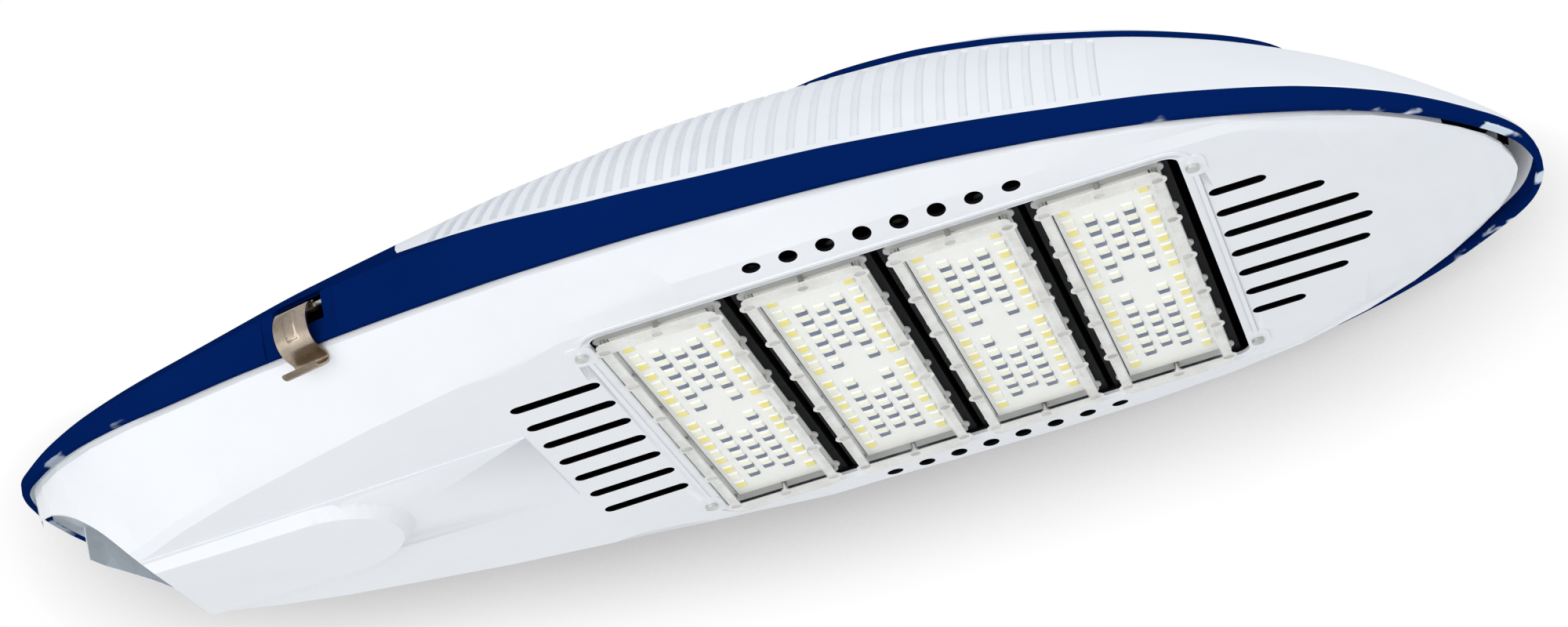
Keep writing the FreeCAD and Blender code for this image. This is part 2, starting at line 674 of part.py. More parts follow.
def lower_cover():
    """Returns the swing-down cover with its openings, tongue, slanted tail and hinge knuckles."""
    inner_hull = cover_hull(COVER_WALL)
    cover = cover_hull(0.0).cut(inner_hull)
    outer_tongue = tongue(0.0, TONGUE_BOTTOM_Z, 3.0)
    inner_tongue = tongue(COVER_WALL, TONGUE_BOTTOM_Z + COVER_WALL, 3.0 + COVER_WALL)
    strip_low = [(x, face_height(x) - STRIP_RISE) for x in (TAIL_X, FACE_TAIL_X, STRIP_END_X)]
    strip_high = [(x, face_height(x) + 1.0) for x in (STRIP_END_X, FACE_TAIL_X, TAIL_X)]
    strip = prism_xz(strip_low + strip_high, STRIP_HALF_WIDTH)
    cover = cover.fuse([outer_tongue.cut(inner_hull), strip] + opening_bead())
    cuts = [tail_cut(), inner_tongue, pole_notch()] + cover_openings()
    lip_low = FACE_FRONT_Z + COVER_WALL
    cuts.append(box(HINGE_X - LIP_CUT_LENGTH, NOSE_X, -200.0, 200.0, lip_low, 60.0))
    for x, y in corner_screw_places():
        cuts.append(cylinder_z(x, y, -5, 20, CORNER_SHANK_R + HOLE_FIT))
    cover = cover.cut(cuts)
    knuckles = []
    for side in (-1, 1):
        low, high = sorted((side * COVER_KNUCKLE_Y0, side * COVER_KNUCKLE_Y1))
        knuckle = cylinder_y(HINGE_X, HINGE_Z, low, high, KNUCKLE_R)
        foot = box(HINGE_X - KNUCKLE_R, HINGE_X + KNUCKLE_R, low, high, lip_low - 1.0, HINGE_Z)
        bore = cylinder_y(HINGE_X, HINGE_Z, low - 1, high + 1, HINGE_PIN_R + HINGE_FIT)
        knuckles.append(knuckle.fuse(foot).cut(bore))
    return only_solid(cover.fuse(knuckles))


def strip_solid(points, thickness, width, shift=0.0):
    """Returns a bent sheet strip: its middle line lies in the s and z plane, its width along x."""
    one_side = []
    other_side = []
    for i, (s, z) in enumerate(points):
        before = points[max(i - 1, 0)]
        after = points[min(i + 1, len(points) - 1)]
        ds = after[0] - before[0]
        dz = after[1] - before[1]
        length = math.hypot(ds, dz)
        ns = -dz / length
        nz = ds / length
        near = shift + thickness / 2
        far = shift - thickness / 2
        one_side.append(Vector(-width / 2, -(s + ns * near), z + nz * near))
        other_side.append(Vector(-width / 2, -(s + ns * far), z + nz * far))
    upper = Part.BSplineCurve()
    upper.interpolate(one_side)
    lower = Part.BSplineCurve()
    lower.interpolate(other_side)
    edges = [upper.toShape(), Part.makeLine(one_side[-1], other_side[-1]), lower.toShape(),
             Part.makeLine(other_side[0], one_side[0])]
    outline = Part.Wire(Part.__sortEdges__(edges))
    return Part.Face(outline).extrude(Vector(width, 0, 0))


def side_latch():
    """Returns the spring latch: an eye on its pin, a bowed strap, a hook and a finger lip."""
    eye = cylinder_x(-LATCH_PIN_S, LATCH_PIN_Z, -LATCH_WIDTH / 2, LATCH_WIDTH / 2, LATCH_EYE_R)
    strap = strip_solid([(LATCH_PIN_S + 1.6, LATCH_PIN_Z + 0.9)] + LATCH_CURVE, LATCH_SHEET, LATCH_WIDTH)
    rib_line = LATCH_CURVE[LATCH_RIB_FIRST:LATCH_RIB_LAST]
    rib = strip_solid(rib_line, LATCH_SHEET, LATCH_RIB_WIDTH, LATCH_RIB_RISE)
    body = fuse_all([eye, strap, rib])
    bore = cylinder_x(-LATCH_PIN_S, LATCH_PIN_Z, -LATCH_WIDTH, LATCH_WIDTH, LATCH_PIN_R + LATCH_FIT)
    return latch_place(only_solid(body.cut(bore)))


def latch_pin():
    reach = latch_slot_half() + LATCH_PIN_HOLD - 0.5
    return latch_place(cylinder_x(-LATCH_PIN_S, LATCH_PIN_Z, -reach, reach, LATCH_PIN_R))


def pole_saddle():
    """Returns the upper half of the pole clamp, with its two bolt flanges."""
    x0 = SOCKET_X - SADDLE_LENGTH / 2
    x1 = SOCKET_X + SADDLE_LENGTH / 2
    bore_r = POLE_R + POLE_FIT
    low = SOCKET_Z + FLANGE_GAP / 2
    pipe = cylinder_x(0, SOCKET_Z, x0, x1, bore_r + SADDLE_WALL)
    reach = bore_r + SADDLE_WALL + FLANGE_OUT
    flanges = box(x0, x1, -reach, reach, low, low + FLANGE_THICK)
    body = pipe.fuse(flanges).cut(cylinder_x(0, SOCKET_Z, x0 - 1, x1 + 1, bore_r))
    body = body.cut(box(x0 - 1, x1 + 1, -reach - 1, reach + 1, SOCKET_Z - 100, low))
    holes = [cylinder_z(x, y, 0, 100, CLAMP_BOLT_R + HOLE_FIT) for x, y in clamp_bolt_places()]
    return only_solid(body.cut(holes))


def pole_strap():
    """Returns the lower half of the pole clamp, bent from strip."""
    x0 = SOCKET_X - STRAP_LENGTH / 2
    x1 = SOCKET_X + STRAP_LENGTH / 2
    bore_r = POLE_R + POLE_FIT
    top = SOCKET_Z - FLANGE_GAP / 2
    pipe = cylinder_x(0, SOCKET_Z, x0, x1, bore_r + STRAP_THICK)
    reach = bore_r + SADDLE_WALL + FLANGE_OUT
    flanges = box(x0, x1, -reach, reach, top - STRAP_THICK, top)
    body = pipe.fuse(flanges).cut(cylinder_x(0, SOCKET_Z, x0 - 1, x1 + 1, bore_r))
    body = body.cut(box(x0 - 1, x1 + 1, -reach - 1, reach + 1, top, SOCKET_Z + 100))
    holes = [cylinder_z(x, y, 0, 100, CLAMP_BOLT_R + HOLE_FIT) for x, y in clamp_bolt_places()]
    return only_solid(body.cut(holes))


def hexagon(x, y, z0, z1, radius):
    """Returns a six-sided bolt head of the given corner radius."""
    corners = []
    for i in range(6):
        angle = math.radians(60 * i)
        corners.append((x + radius * math.cos(angle), y + radius * math.sin(angle), z0))
    return Part.Face(wire_through(corners)).extrude(Vector(0, 0, z1 - z0))


def clamp_bolts():
    head_top = SOCKET_Z - FLANGE_GAP / 2 - STRAP_THICK
    tip = SOCKET_Z + FLANGE_GAP / 2 + FLANGE_THICK + CLAMP_BOLT_DEPTH
    bolts = []
    for x, y in clamp_bolt_places():
        shank = cylinder_z(x, y, head_top - 1, tip, CLAMP_BOLT_R)
        head = hexagon(x, y, head_top - CLAMP_BOLT_HEAD_H, head_top, CLAMP_BOLT_HEAD_R)
        bolts.append(fuse_all([shank, head]))
    return Part.makeCompound(bolts)


def driver_screw_places():
    reach = DRIVER_LENGTH / 2 + DRIVER_TAB / 2
    return [(DRIVER_X + sx * reach, sy * DRIVER_TAB_SCREW_Y) for sx in (-1, 1) for sy in (-1, 1)]


def driver_tray():
    """Returns the folded sheet tray under the roof that carries the driver."""
    tray = box(TRAY_X0, TRAY_X1, -TRAY_HALF_WIDTH, TRAY_HALF_WIDTH, TRAY_Z, TRAY_Z + TRAY_SHEET)
    edges = []
    for side in (-1, 1):
        low, high = sorted((side * TRAY_HALF_WIDTH, side * (TRAY_HALF_WIDTH + TRAY_SHEET)))
        edges.append(box(TRAY_X0, TRAY_X1, low, high, TRAY_Z - TRAY_EDGE, TRAY_Z + TRAY_SHEET))
    tray = fuse_all([tray] + edges)
    holes = [cylinder_z(x, y, TRAY_Z - 1, TRAY_Z + 5, CORNER_SHANK_R + HOLE_FIT)
             for x, y in tray_post_places() + driver_screw_places()]
    return only_solid(tray.cut(holes))


def screw_up(x, y, seat_z, tip_z, shank_r, head_r, head_h):
    """Returns a pan head screw that goes upwards from its seat."""
    shank = cylinder_z(x, y, seat_z - head_h / 2, tip_z, shank_r)
    head = cylinder_z(x, y, seat_z - head_h, seat_z, head_r)
    return fuse_all([shank, head])


def screw_down(x, y, seat_z, tip_z, shank_r, head_r, head_h):
    """Returns a pan head screw that goes downwards from its seat."""
    shank = cylinder_z(x, y, tip_z, seat_z + head_h / 2, shank_r)
    head = cylinder_z(x, y, seat_z, seat_z + head_h, head_r)
    return fuse_all([shank, head])


def tray_screws():
    tip = TRAY_Z + TRAY_SHEET + TRAY_SCREW_DEPTH - 1
    return Part.makeCompound([screw_up(x, y, TRAY_Z, tip, CORNER_SHANK_R, CORNER_HEAD_R, CORNER_HEAD_H)
                              for x, y in tray_post_places()])


def driver_screws():
    tip = TRAY_Z + TRAY_SHEET + 3.0
    return Part.makeCompound([screw_up(x, y, TRAY_Z - DRIVER_TAB_THICK, tip, CORNER_SHANK_R, CORNER_HEAD_R,
                                       CORNER_HEAD_H) for x, y in driver_screw_places()])


def led_driver():
    """Returns the sealed LED driver with its two screw tabs."""
    half = DRIVER_LENGTH / 2
    body = box(DRIVER_X - half, DRIVER_X + half, -DRIVER_WIDTH / 2, DRIVER_WIDTH / 2,
               TRAY_Z - DRIVER_HEIGHT, TRAY_Z)
    lengthwise = [e for e in body.Edges if abs(e.Vertexes[0].X - e.Vertexes[1].X) > 1e-6
                  and e.Vertexes[0].Z < TRAY_Z - 1]
    body = body.makeFillet(DRIVER_CORNER, lengthwise)
    reach = half + DRIVER_TAB
    tabs = box(DRIVER_X - reach, DRIVER_X + reach, -DRIVER_WIDTH / 2, DRIVER_WIDTH / 2,
               TRAY_Z - DRIVER_TAB_THICK, TRAY_Z)
    holes = [cylinder_z(x, y, TRAY_Z - 10, TRAY_Z + 5, CORNER_SHANK_R + HOLE_FIT)
             for x, y in driver_screw_places()]
    return only_solid(body.fuse(tabs).removeSplitter().cut(holes))


def surge_protector():
    half = SURGE_LENGTH / 2
    body = box(SURGE_X - half, SURGE_X + half, -SURGE_WIDTH / 2, SURGE_WIDTH / 2, TRAY_Z - SURGE_HEIGHT, TRAY_Z)
    upright = [e for e in body.Edges if abs(e.Vertexes[0].Z - e.Vertexes[1].Z) > 1e-6]
    return body.makeFillet(3.0, upright)


def terminal_block():
    """Returns the terminal block with one screw well for each wire."""
    half = TERMINAL_LENGTH / 2
    body = box(TERMINAL_X - half, TERMINAL_X + half, -TERMINAL_WIDTH / 2, TERMINAL_WIDTH / 2,
               TRAY_Z - TERMINAL_HEIGHT, TRAY_Z)
    pitch = TERMINAL_WIDTH / TERMINAL_WAYS
    low = TRAY_Z - TERMINAL_HEIGHT
    wells = []
    for i in range(TERMINAL_WAYS):
        y = (i - (TERMINAL_WAYS - 1) / 2) * pitch
        wells.append(cylinder_z(TERMINAL_X, y, low - 1, low + TERMINAL_WELL_DEPTH, TERMINAL_WELL_R))
        wells.append(cylinder_x(y, TRAY_Z - TERMINAL_HEIGHT / 2 + 1, TERMINAL_X - half - 1,
                                TERMINAL_X - half + TERMINAL_WELL_DEPTH, TERMINAL_WELL_R))
    return only_solid(body.cut(wells))


def module_frame():
    """Returns the sheet ring that the modules are screwed to."""
    low = FACE_FRONT_Z + COVER_WALL
    high = low + FRAME_SHEET
    ring = rounded_box(OPENING_X0 - FRAME_MARGIN - FRAME_SIDE, OPENING_X1 + FRAME_MARGIN + FRAME_SIDE,
                       -FRAME_HALF_WIDTH, FRAME_HALF_WIDTH, low, high, FRAME_CORNER)
    parts = []
    for x, y in corner_screw_places():
        outwards = 1 if x > 0 else -1
        x0, x1 = sorted((x - outwards * FRAME_SIDE / 2, x + outwards * FRAME_TAB_LENGTH))
        parts.append(box(x0, x1, y - FRAME_TAB_WIDTH / 2, y + FRAME_TAB_WIDTH / 2, low, high))
        parts.append(cylinder_z(x, y, low, high + CORNER_BOSS_H, CORNER_BOSS_R))
    ring = ring.fuse(parts)
    cuts = [box(OPENING_X0 - FRAME_MARGIN, OPENING_X1 + FRAME_MARGIN, -OPENING_HALF_WIDTH - FRAME_MARGIN,
                OPENING_HALF_WIDTH + FRAME_MARGIN, low - 1, high + 1)]
    cuts.extend([cylinder_z(x, y, 0, 30, CORNER_SHANK_R + HOLE_FIT) for x, y in corner_screw_places()])
    cuts.extend([cylinder_z(x, y, 0, 30, CORNER_SHANK_R + HOLE_FIT) for x, y in module_screw_places()])
    return only_solid(ring.cut(cuts).removeSplitter())


def module_centre(index):
    return (index - (MODULE_COUNT - 1) / 2) * MODULE_PITCH


def module_screw_places():
    places = []
    for i in range(MODULE_COUNT):
        for sx in (-1, 1):
            for sy in (-1, 1):
                places.append((module_centre(i) + sx * MODULE_SCREW_X, sy * MODULE_SCREW_Y))
    return places


def frame_screws():
    seat = FACE_FRONT_Z - BEAD_RISE
    tip = FACE_FRONT_Z + COVER_WALL + FRAME_SHEET + CORNER_BOSS_H
    return Part.makeCompound([screw_up(x, y, seat, tip, CORNER_SHANK_R, CORNER_HEAD_R, CORNER_HEAD_H)
                              for x, y in corner_screw_places()])


def sink_base_z():
    return FACE_FRONT_Z + COVER_WALL + FRAME_SHEET


def module_screws():
    seat = sink_base_z() + SINK_BASE_THICK
    tip = FACE_FRONT_Z + COVER_WALL + 0.1
    return Part.makeCompound([screw_down(x, y, seat, tip, CORNER_SHANK_R, CORNER_HEAD_R, CORNER_HEAD_H)
                              for x, y in module_screw_places()])


def lens_screw_places():
    """Returns the lens screw positions of one module about its centre."""
    places = []
    for i in range(SCREW_ROWS):
        y = (i - (SCREW_ROWS - 1) / 2) * SCREW_ROW_PITCH
        places.extend([(-SCREW_COLUMN, y), (SCREW_COLUMN, y)])
    places.extend([(0.0, -END_SCREW_Y), (0.0, END_SCREW_Y)])
    return places


def lens_top():
    return sink_base_z() - SEAL_THICK


def lens_outline(z0, z1):
    """Returns the plate outline with an ear at each side screw."""
    plate = rounded_box(-LENS_WIDTH / 2, LENS_WIDTH / 2, -LENS_LENGTH / 2, LENS_LENGTH / 2, z0, z1, LENS_CORNER)
    ears = [cylinder_z(x, y, z0, z1, EAR_RADIUS) for x, y in lens_screw_places() if x != 0.0]
    return fuse_all([plate] + ears)


def board_pocket(z0, z1):
    half_x = BOARD_WIDTH / 2 + BOARD_CLEARANCE
    half_y = BOARD_LENGTH / 2 + BOARD_CLEARANCE
    return box(-half_x, half_x, -half_y, half_y, z0, z1)


def lens_plate():
    """Returns one clear lens plate: a shallow tray that covers the board, screwed down all round."""
    plate = lens_outline(0.0, lens_top())
    cuts = [board_pocket(LENS_FLOOR, lens_top() + 1)]
    for x, y in lens_screw_places():
        cuts.append(cylinder_z(x, y, -1, lens_top() + 1, SCREW_SHANK_R + HOLE_FIT))
        cuts.append(cylinder_z(x, y, -1, SCREW_HEAD_SINK + SCREW_HEAD_H, SCREW_HEAD_R + HEAD_FIT))
    return only_solid(plate.cut(cuts))


def seal():
    """Returns the flat seal between a lens plate and its heat sink."""
    ring = lens_outline(lens_top(), sink_base_z())
    cuts = [board_pocket(lens_top() - 1, sink_base_z() + 1)]
    cuts.extend([cylinder_z(x, y, 0, 30, SCREW_SHANK_R + HOLE_FIT) for x, y in lens_screw_places()])
    return only_solid(ring.cut(cuts))


def lens_screws():
    seat = SCREW_HEAD_SINK + SCREW_HEAD_H
    tip = sink_base_z() + SCREW_TIP_DEPTH
    return Part.makeCompound([screw_up(x, y, seat, tip, SCREW_SHANK_R, SCREW_HEAD_R, SCREW_HEAD_H)
                              for x, y in lens_screw_places()])


def led_board():
    top = sink_base_z()
    return box(-BOARD_WIDTH / 2, BOARD_WIDTH / 2, -BOARD_LENGTH / 2, BOARD_LENGTH / 2, top - BOARD_THICK, top)


def chip_places():
    """Returns the middles of the LED chips of one module."""
    places = []
    for sy in (-1, 1):
        for sx in (-1, 1):
            places.extend([(sx * CHIP_OUTER_X, sy * y) for y in CHIP_OUTER_ROWS])
            places.extend([(sx * CHIP_INNER_X, sy * y) for y in CHIP_INNER_ROWS])
        places.extend([(0.0, sy * y) for y in CHIP_CENTRE_ROWS])
    return places


def led_chips():
    top = sink_base_z() - BOARD_THICK
    return Part.makeCompound([box(x - CHIP_WIDTH / 2, x + CHIP_WIDTH / 2, y - CHIP_LENGTH / 2,
                                  y + CHIP_LENGTH / 2, top - CHIP_THICK, top) for x, y in chip_places()])


def heatsink():
    """Returns one finned heat sink, the back of a module."""
    low = sink_base_z()
    high = low + SINK_BASE_THICK
    base = box(-SINK_BASE_WIDTH / 2, SINK_BASE_WIDTH / 2, -SINK_BASE_LENGTH / 2, SINK_BASE_LENGTH / 2, low, high)
    fins = []
    for i in range(FIN_COUNT):
        x = (i - (FIN_COUNT - 1) / 2) * FIN_PITCH
        fins.append(box(x - FIN_THICK / 2, x + FIN_THICK / 2, -FIN_LENGTH / 2, FIN_LENGTH / 2, high - 0.5,
                        high + FIN_HEIGHT))
    body = fuse_all([base] + fins)
    holes = [cylinder_z(x, y, low - 1, low + SCREW_TIP_DEPTH + 0.3, SCREW_SHANK_R + HOLE_FIT)
             for x, y in lens_screw_places()]
    for sx in (-1, 1):
        for sy in (-1, 1):
            holes.append(cylinder_z(sx * MODULE_SCREW_X, sy * MODULE_SCREW_Y, low - 1, high + 1,
                                    CORNER_SHANK_R + HOLE_FIT))
    return only_solid(body.cut(holes))


def all_parts():
    """Returns every part by name, in the work frame."""
    parts = {
        "upper_housing": upper_housing(),
        "lower_cover": lower_cover(),
        "hinge_pin": hinge_pin(),
        "side_latch": side_latch(),
        "latch_pin": latch_pin(),
        "pole_saddle": pole_saddle(),
        "pole_strap": pole_strap(),
        "clamp_bolts": clamp_bolts(),
        "driver_tray": driver_tray(),
        "tray_screws": tray_screws(),
        "led_driver": led_driver(),
        "driver_screws": driver_screws(),
        "surge_protector": surge_protector(),
        "terminal_block": terminal_block(),
        "module_frame": module_frame(),
        "frame_screws": frame_screws(),
        "module_screws": module_screws(),
    }
    module_parts = {
        "heatsink": heatsink(),
        "led_board": led_board(),
        "led_chips": led_chips(),
        "seal": seal(),
        "lens_plate": lens_plate(),
        "lens_screws": lens_screws(),
    }
    for i in range(MODULE_COUNT):
        for name, shape in module_parts.items():
            placed = shape.copy()
            placed.translate(Vector(module_centre(i), 0, 0))
            parts[name + "_" + str(i + 1)] = placed
    return parts


def main():
    os.makedirs("parts", exist_ok=True)
    for name, shape in all_parts().items():
        placed = shape.copy()
        placed.translate(Vector(-SOCKET_X, 0, -SOCKET_Z))
        placed.exportStep("parts/" + name + ".step")


main()
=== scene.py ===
"""Looks of the LED street light head: smooth skins, lens plates, paint, light and camera.

Lengths in the tables are in millimetres in the part's work frame: x to the nose, z = 0 at the
lens faces. row() turns them into the record's metres.
"""

import json
import math

import bmesh
import bpy
from mathutils import Matrix, Vector
from mathutils.bvhtree import BVHTree

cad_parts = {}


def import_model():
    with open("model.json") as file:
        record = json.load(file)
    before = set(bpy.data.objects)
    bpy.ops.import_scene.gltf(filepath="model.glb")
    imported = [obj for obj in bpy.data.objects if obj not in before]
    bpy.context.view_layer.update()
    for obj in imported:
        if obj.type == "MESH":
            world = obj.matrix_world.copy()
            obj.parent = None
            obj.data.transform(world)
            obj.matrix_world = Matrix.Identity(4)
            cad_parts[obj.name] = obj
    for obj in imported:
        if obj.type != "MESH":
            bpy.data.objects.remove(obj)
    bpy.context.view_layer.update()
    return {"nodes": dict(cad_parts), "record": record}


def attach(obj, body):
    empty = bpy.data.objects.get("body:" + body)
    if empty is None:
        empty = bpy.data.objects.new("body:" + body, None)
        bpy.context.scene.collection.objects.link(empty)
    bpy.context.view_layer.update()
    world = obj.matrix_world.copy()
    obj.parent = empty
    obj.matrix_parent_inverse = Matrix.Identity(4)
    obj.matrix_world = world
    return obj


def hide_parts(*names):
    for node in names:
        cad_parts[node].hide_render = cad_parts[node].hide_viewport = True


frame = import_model()
nodes = frame["nodes"]
body_of = {name: body for body, names in frame["record"]["behaviour"]["bodies"].items() for name in names}

# The record's origin in the work frame.
ORIGIN_X = -395.0
ORIGIN_Z = 31.0


def row(x, y, z):
    """Turns work-frame millimetres into row-frame metres."""
    return Vector(((x - ORIGIN_X) / 1000, y / 1000, (z - ORIGIN_Z) / 1000))


# Lines of the upper shell, each as pairs of x and the size at that x.
HALF_WIDTH = [(-523, 9), (-520, 31), (-513, 53), (-500, 73), (-480, 96), (-450, 120.5), (-420, 137),
              (-385, 151), (-340, 168), (-290, 183), (-230, 197), (-170, 206.5), (-100, 211), (-30, 209),
              (40, 204), (100, 195), (150, 183), (195, 166), (238, 144), (270, 122), (295, 99),
              (315, 76), (329, 57), (337, 41), (342, 23), (344, 10)]
RIM_HEIGHT = [(-523, 65), (-518, 63), (-510, 60), (-490, 54.3), (-450, 47.3), (-400, 41.5), (-350, 37),
              (-300, 33), (-200, 26.5), (-100, 22), (0, 18.5), (100, 13.8), (200, 9.2), (300, 4.6),
              (344, 0.8)]
BAND_HEIGHT = [(-523, 5), (-480, 8), (-440, 12), (-350, 20), (-300, 25), (-190, 30), (-126, 25), (-67, 22),
               (0, 20), (60, 17), (170, 14), (230, 13), (284, 10), (344, 6)]
CROWN_HEIGHT = [(-523, 72), (-510, 84), (-480, 94), (-440, 99), (-400, 105), (-350, 111), (-300, 118),
                (-240, 126), (-190, 135), (-126, 146), (-34, 160), (33, 164), (77, 160), (138, 145),
                (195, 123), (238, 101), (275, 78), (306, 54), (330, 33), (340, 21), (344, 13)]
SECTION_POWER = [(-523, 2.4), (-126, 2.4), (-34, 1.95), (33, 1.72), (150, 1.6), (344, 1.55)]

# Height of the navy band's upper edge in the side view, and the full scales of the two painted lines.
BAND_TOP = [(-523, 230), (-262, 230), (-246, 92), (-236, 66), (-190, 57), (-126, 48.5), (-67, 43), (0, 38.5),
            (60, 33), (114, 28), (170, 24.5), (230, 20.5), (284, 15), (316, 11), (344, 8)]
BAND_TOP_SCALE = 230.0
RIM_SCALE = 100.0

# Skirt, wall, oval cap and cross grooves. A set of grooves is its first x, pitch, count and depth.
BAND_LEAN = 1.5
SKIRT_DEPTH = 40.0
SHELL_WALL = 3.4
CAP_RISE = 3.8
CAP_CENTRE_X = 82.0
CAP_HALF_LENGTH = 152.0
CAP_HALF_WIDTH = 80.0
GROOVES = [(-214.0, 9.0, 19, 2.4), (-41.0, 11.0, 17, 1.5)]
GROOVE_HALF = 2.3
GROOVE_EDGE = 0.3
GROOVE_BAND_MARGIN = 5.0
GROOVE_CAP_MARGIN = 9.0
RIM_BEVEL = 0.5

# Rows and rings of the skin. Rings are closer together at both ends, at the grooves and at the cap's tips.
DOME_ROWS = 22
CAP_ROWS = 8
INNER_ROWS = 12
EVEN_RINGS = 190
END_RINGS = 16
END_REACH = 30
CAP_TIP_OFFSETS = (0.0, 0.2, 1.0, 2.5, 5.0, 9.0, 14.0)
GROOVE_RING_GAP = 0.6
LEAST_RING_GAP = 0.12
GROOVE_FADE = 1.2
LEAST_DOME_WIDTH = 4.0
CAP_EDGE_HALF = 0.15

# Side latch. A cutter is half its length, s from and to, z from and to, and the radius of its corners.
LATCH_X = -296.0
LATCH_TURN = 14.6
LATCH_SLOT_HALF = 15.5
RECESS_CUTTER = (LATCH_SLOT_HALF + 8.0, -2.4, 25.0, 0.0, 71.5, 9.0)
SLOT_CUTTER = (LATCH_SLOT_HALF, -10.0, 25.0, 44.0, 62.5, 1.5)

# Posts of the tray and pillars of the clamp, as x, y, radius and lower end, and the lugs of the hinge.
INNER_POSTS = [(x, sy * 36.0, 4.5, 101.0) for x in (-258.0, 80.0) for sy in (-1, 1)]
INNER_POSTS += [(ORIGIN_X + sx * 27.0, sy * 44.0, 8.0, 39.0) for sx in (-1, 1) for sy in (-1, 1)]
POST_SEGMENTS = 24
LUG_X = 321.0
LUG_Y = 28.4
LUG_Z = 11.4
LUG_RADIUS = 4.0
LUG_LENGTH = 8.0

# Where paint ends: the inside of the hood, pale bluish and made lighter as painted light, the painted skirt
# at the nose, and the cover's openings, whose walls carry painted shade.
HOOD_END_X = -405.0
NOSE_SKIRT_X = 230.0
NOSE_SKIRT_Z = 24.0
MIDDLE_X = -90.0
FACE_TOP = 6.5
VENT_X = 11.0
VENT_Y = 165.5
VENT_REACH_X = 80.0
VENT_REACH_Y = 8.5
SLOTS_HALF_WIDTH = 94.0
SLOT_RANGES = [(-222.0, -162.0), (168.0, 256.0)]
UPRIGHT_NORMAL_Z = 0.12

# LED modules. The zones of a lens plate are fades in metres, from its middle outwards.
MODULE_PITCH = 80.0
FIRST_EDGE_X = -160.0
WINDOW_SIDE = (0.0262, 0.0280)
WINDOW_END = (0.1275, 0.1300)
POCKET_PITCH = 0.05234
POCKET_SIDE = (0.0325, 0.0290)
PLATE_FACE_Z = (0.6, 0.3)

# Chips, as places from the module's middle. A block is half its length, half its width, its lower and
# upper z, its material and how much its lower face is smaller.
CHIP_OUTER_X = 21.3
CHIP_INNER_X = 10.5
CHIP_OUTER_ROWS = [10.8, 21.6, 33.4, 46.2, 58.4, 70.6, 87.0, 99.0, 114.2]
CHIP_INNER_ROWS = [17.0, 36.6, 52.8, 68.8, 84.6, 98.0]
CHIP_CENTRE_ROWS = [42.0, 58.6, 75.0, 91.4]
CHIP_TOP = 6.55
BEVEL = 0.35
LONG_PACKAGE = (3.1, 4.4, 5.7, CHIP_TOP, 0, BEVEL)
LONG_PHOSPHOR = (2.7, 3.7, 5.5, 5.72, 1, 0.1)
LONG_PHOSPHOR_PALE = (2.7, 3.7, 5.5, 5.72, 2, 0.1)
PACKAGE = (3.1, 4.2, 5.7, CHIP_TOP, 0, BEVEL)
PHOSPHOR = (2.7, 3.0, 5.5, 5.72, 2, 0.1)
# The dark block beside each inner chip is a painted reflection of the lens.
CHIP_REFLECTION = (3.3, 2.4, 5.45, CHIP_TOP, 3, BEVEL)
PHOSPHOR_SHIFT = 0.6
REFLECTION_SHIFT = 6.6

# Camera, its chip and lens in millimetres. RIGHT and UP are its own directions.
SENSOR_WIDTH = 36.0
FOCAL_LENGTH = 82.81
EYE = row(221.0, -1811.5, -768.2)
RIGHT = Vector((0.9443, 0.2505, -0.2134)).normalized()
UP = RIGHT.cross(Vector((0.2944, -0.3533, 0.8880))).normalized().cross(RIGHT)
LAMP_MIDDLE = row(-90.0, 0.0, 40.0)

# Floor, card and lights, in metres. The card's line is how far to the right and how deep, as the camera
# sees it. A light is its place from the camera, its size and its power.
FLOOR_Z = -1.4
FLOOR_HALF = 12.0
CARD = [(-0.75, 2.11), (-0.43, 2.165), (-0.32, 2.194), (-0.16, 2.219), (-0.04, 2.219), (0.12, 2.192),
        (0.26, 2.156), (0.36, 2.096), (0.42, 2.05), (0.50, 2.00), (0.75, 1.80)]
CARD_HALF_HEIGHT = 0.35
SHADOW_REACH = 0.075
SHADOW_SAMPLES = 12
SHADOW_OPENNESS = (0.45, 0.98)
SHADOW_BRIGHTNESS = (0.42, 1.0)
WORLD_STRENGTH = 0.83
LIGHTS = {"key": ((-1.0, -0.2, -0.3), 1.8, 30.0), "front_fill": ((0.9, 0.2, 1.1), 1.5, 10.0)}


def curve_through(points):
    """Returns a smooth function through the points that never overshoots them."""
    xs = [p[0] for p in points]
    ys = [p[1] for p in points]
    slopes = [(ys[i + 1] - ys[i]) / (xs[i + 1] - xs[i]) for i in range(len(xs) - 1)]
    inner = [2 * a * b / (a + b) if a * b > 0 else 0.0 for a, b in zip(slopes, slopes[1:])]
    tangents = [slopes[0]] + inner + [slopes[-1]]

    def value(x):
        x = min(max(x, xs[0]), xs[-1])
        i = max(j for j in range(len(xs) - 1) if xs[j] <= x)
        span = xs[i + 1] - xs[i]
        t = (x - xs[i]) / span
        low = (1 + 2 * t) * (1 - t) ** 2 * ys[i] + t * (1 - t) ** 2 * span * tangents[i]
        high = t * t * (3 - 2 * t) * ys[i + 1] + t * t * (t - 1) * span * tangents[i + 1]
        return low + high

    return value


half_width = curve_through(HALF_WIDTH)
rim_height = curve_through(RIM_HEIGHT)
band_height = curve_through(BAND_HEIGHT)
crown_height = curve_through(CROWN_HEIGHT)
section_power = curve_through(SECTION_POWER)


def dome_point(x, share, inset=0.0):
    """Returns y and z on the dome at x, at a share of its half width."""
    shoulder = max(half_width(x) - inset - BAND_LEAN, 2.0)
    top = crown_height(x) - inset
    band_top = min(rim_height(x) + band_height(x), top - 2.0)
    return shoulder * share, band_top + (top - band_top) * (1 - abs(share) ** section_power(x))


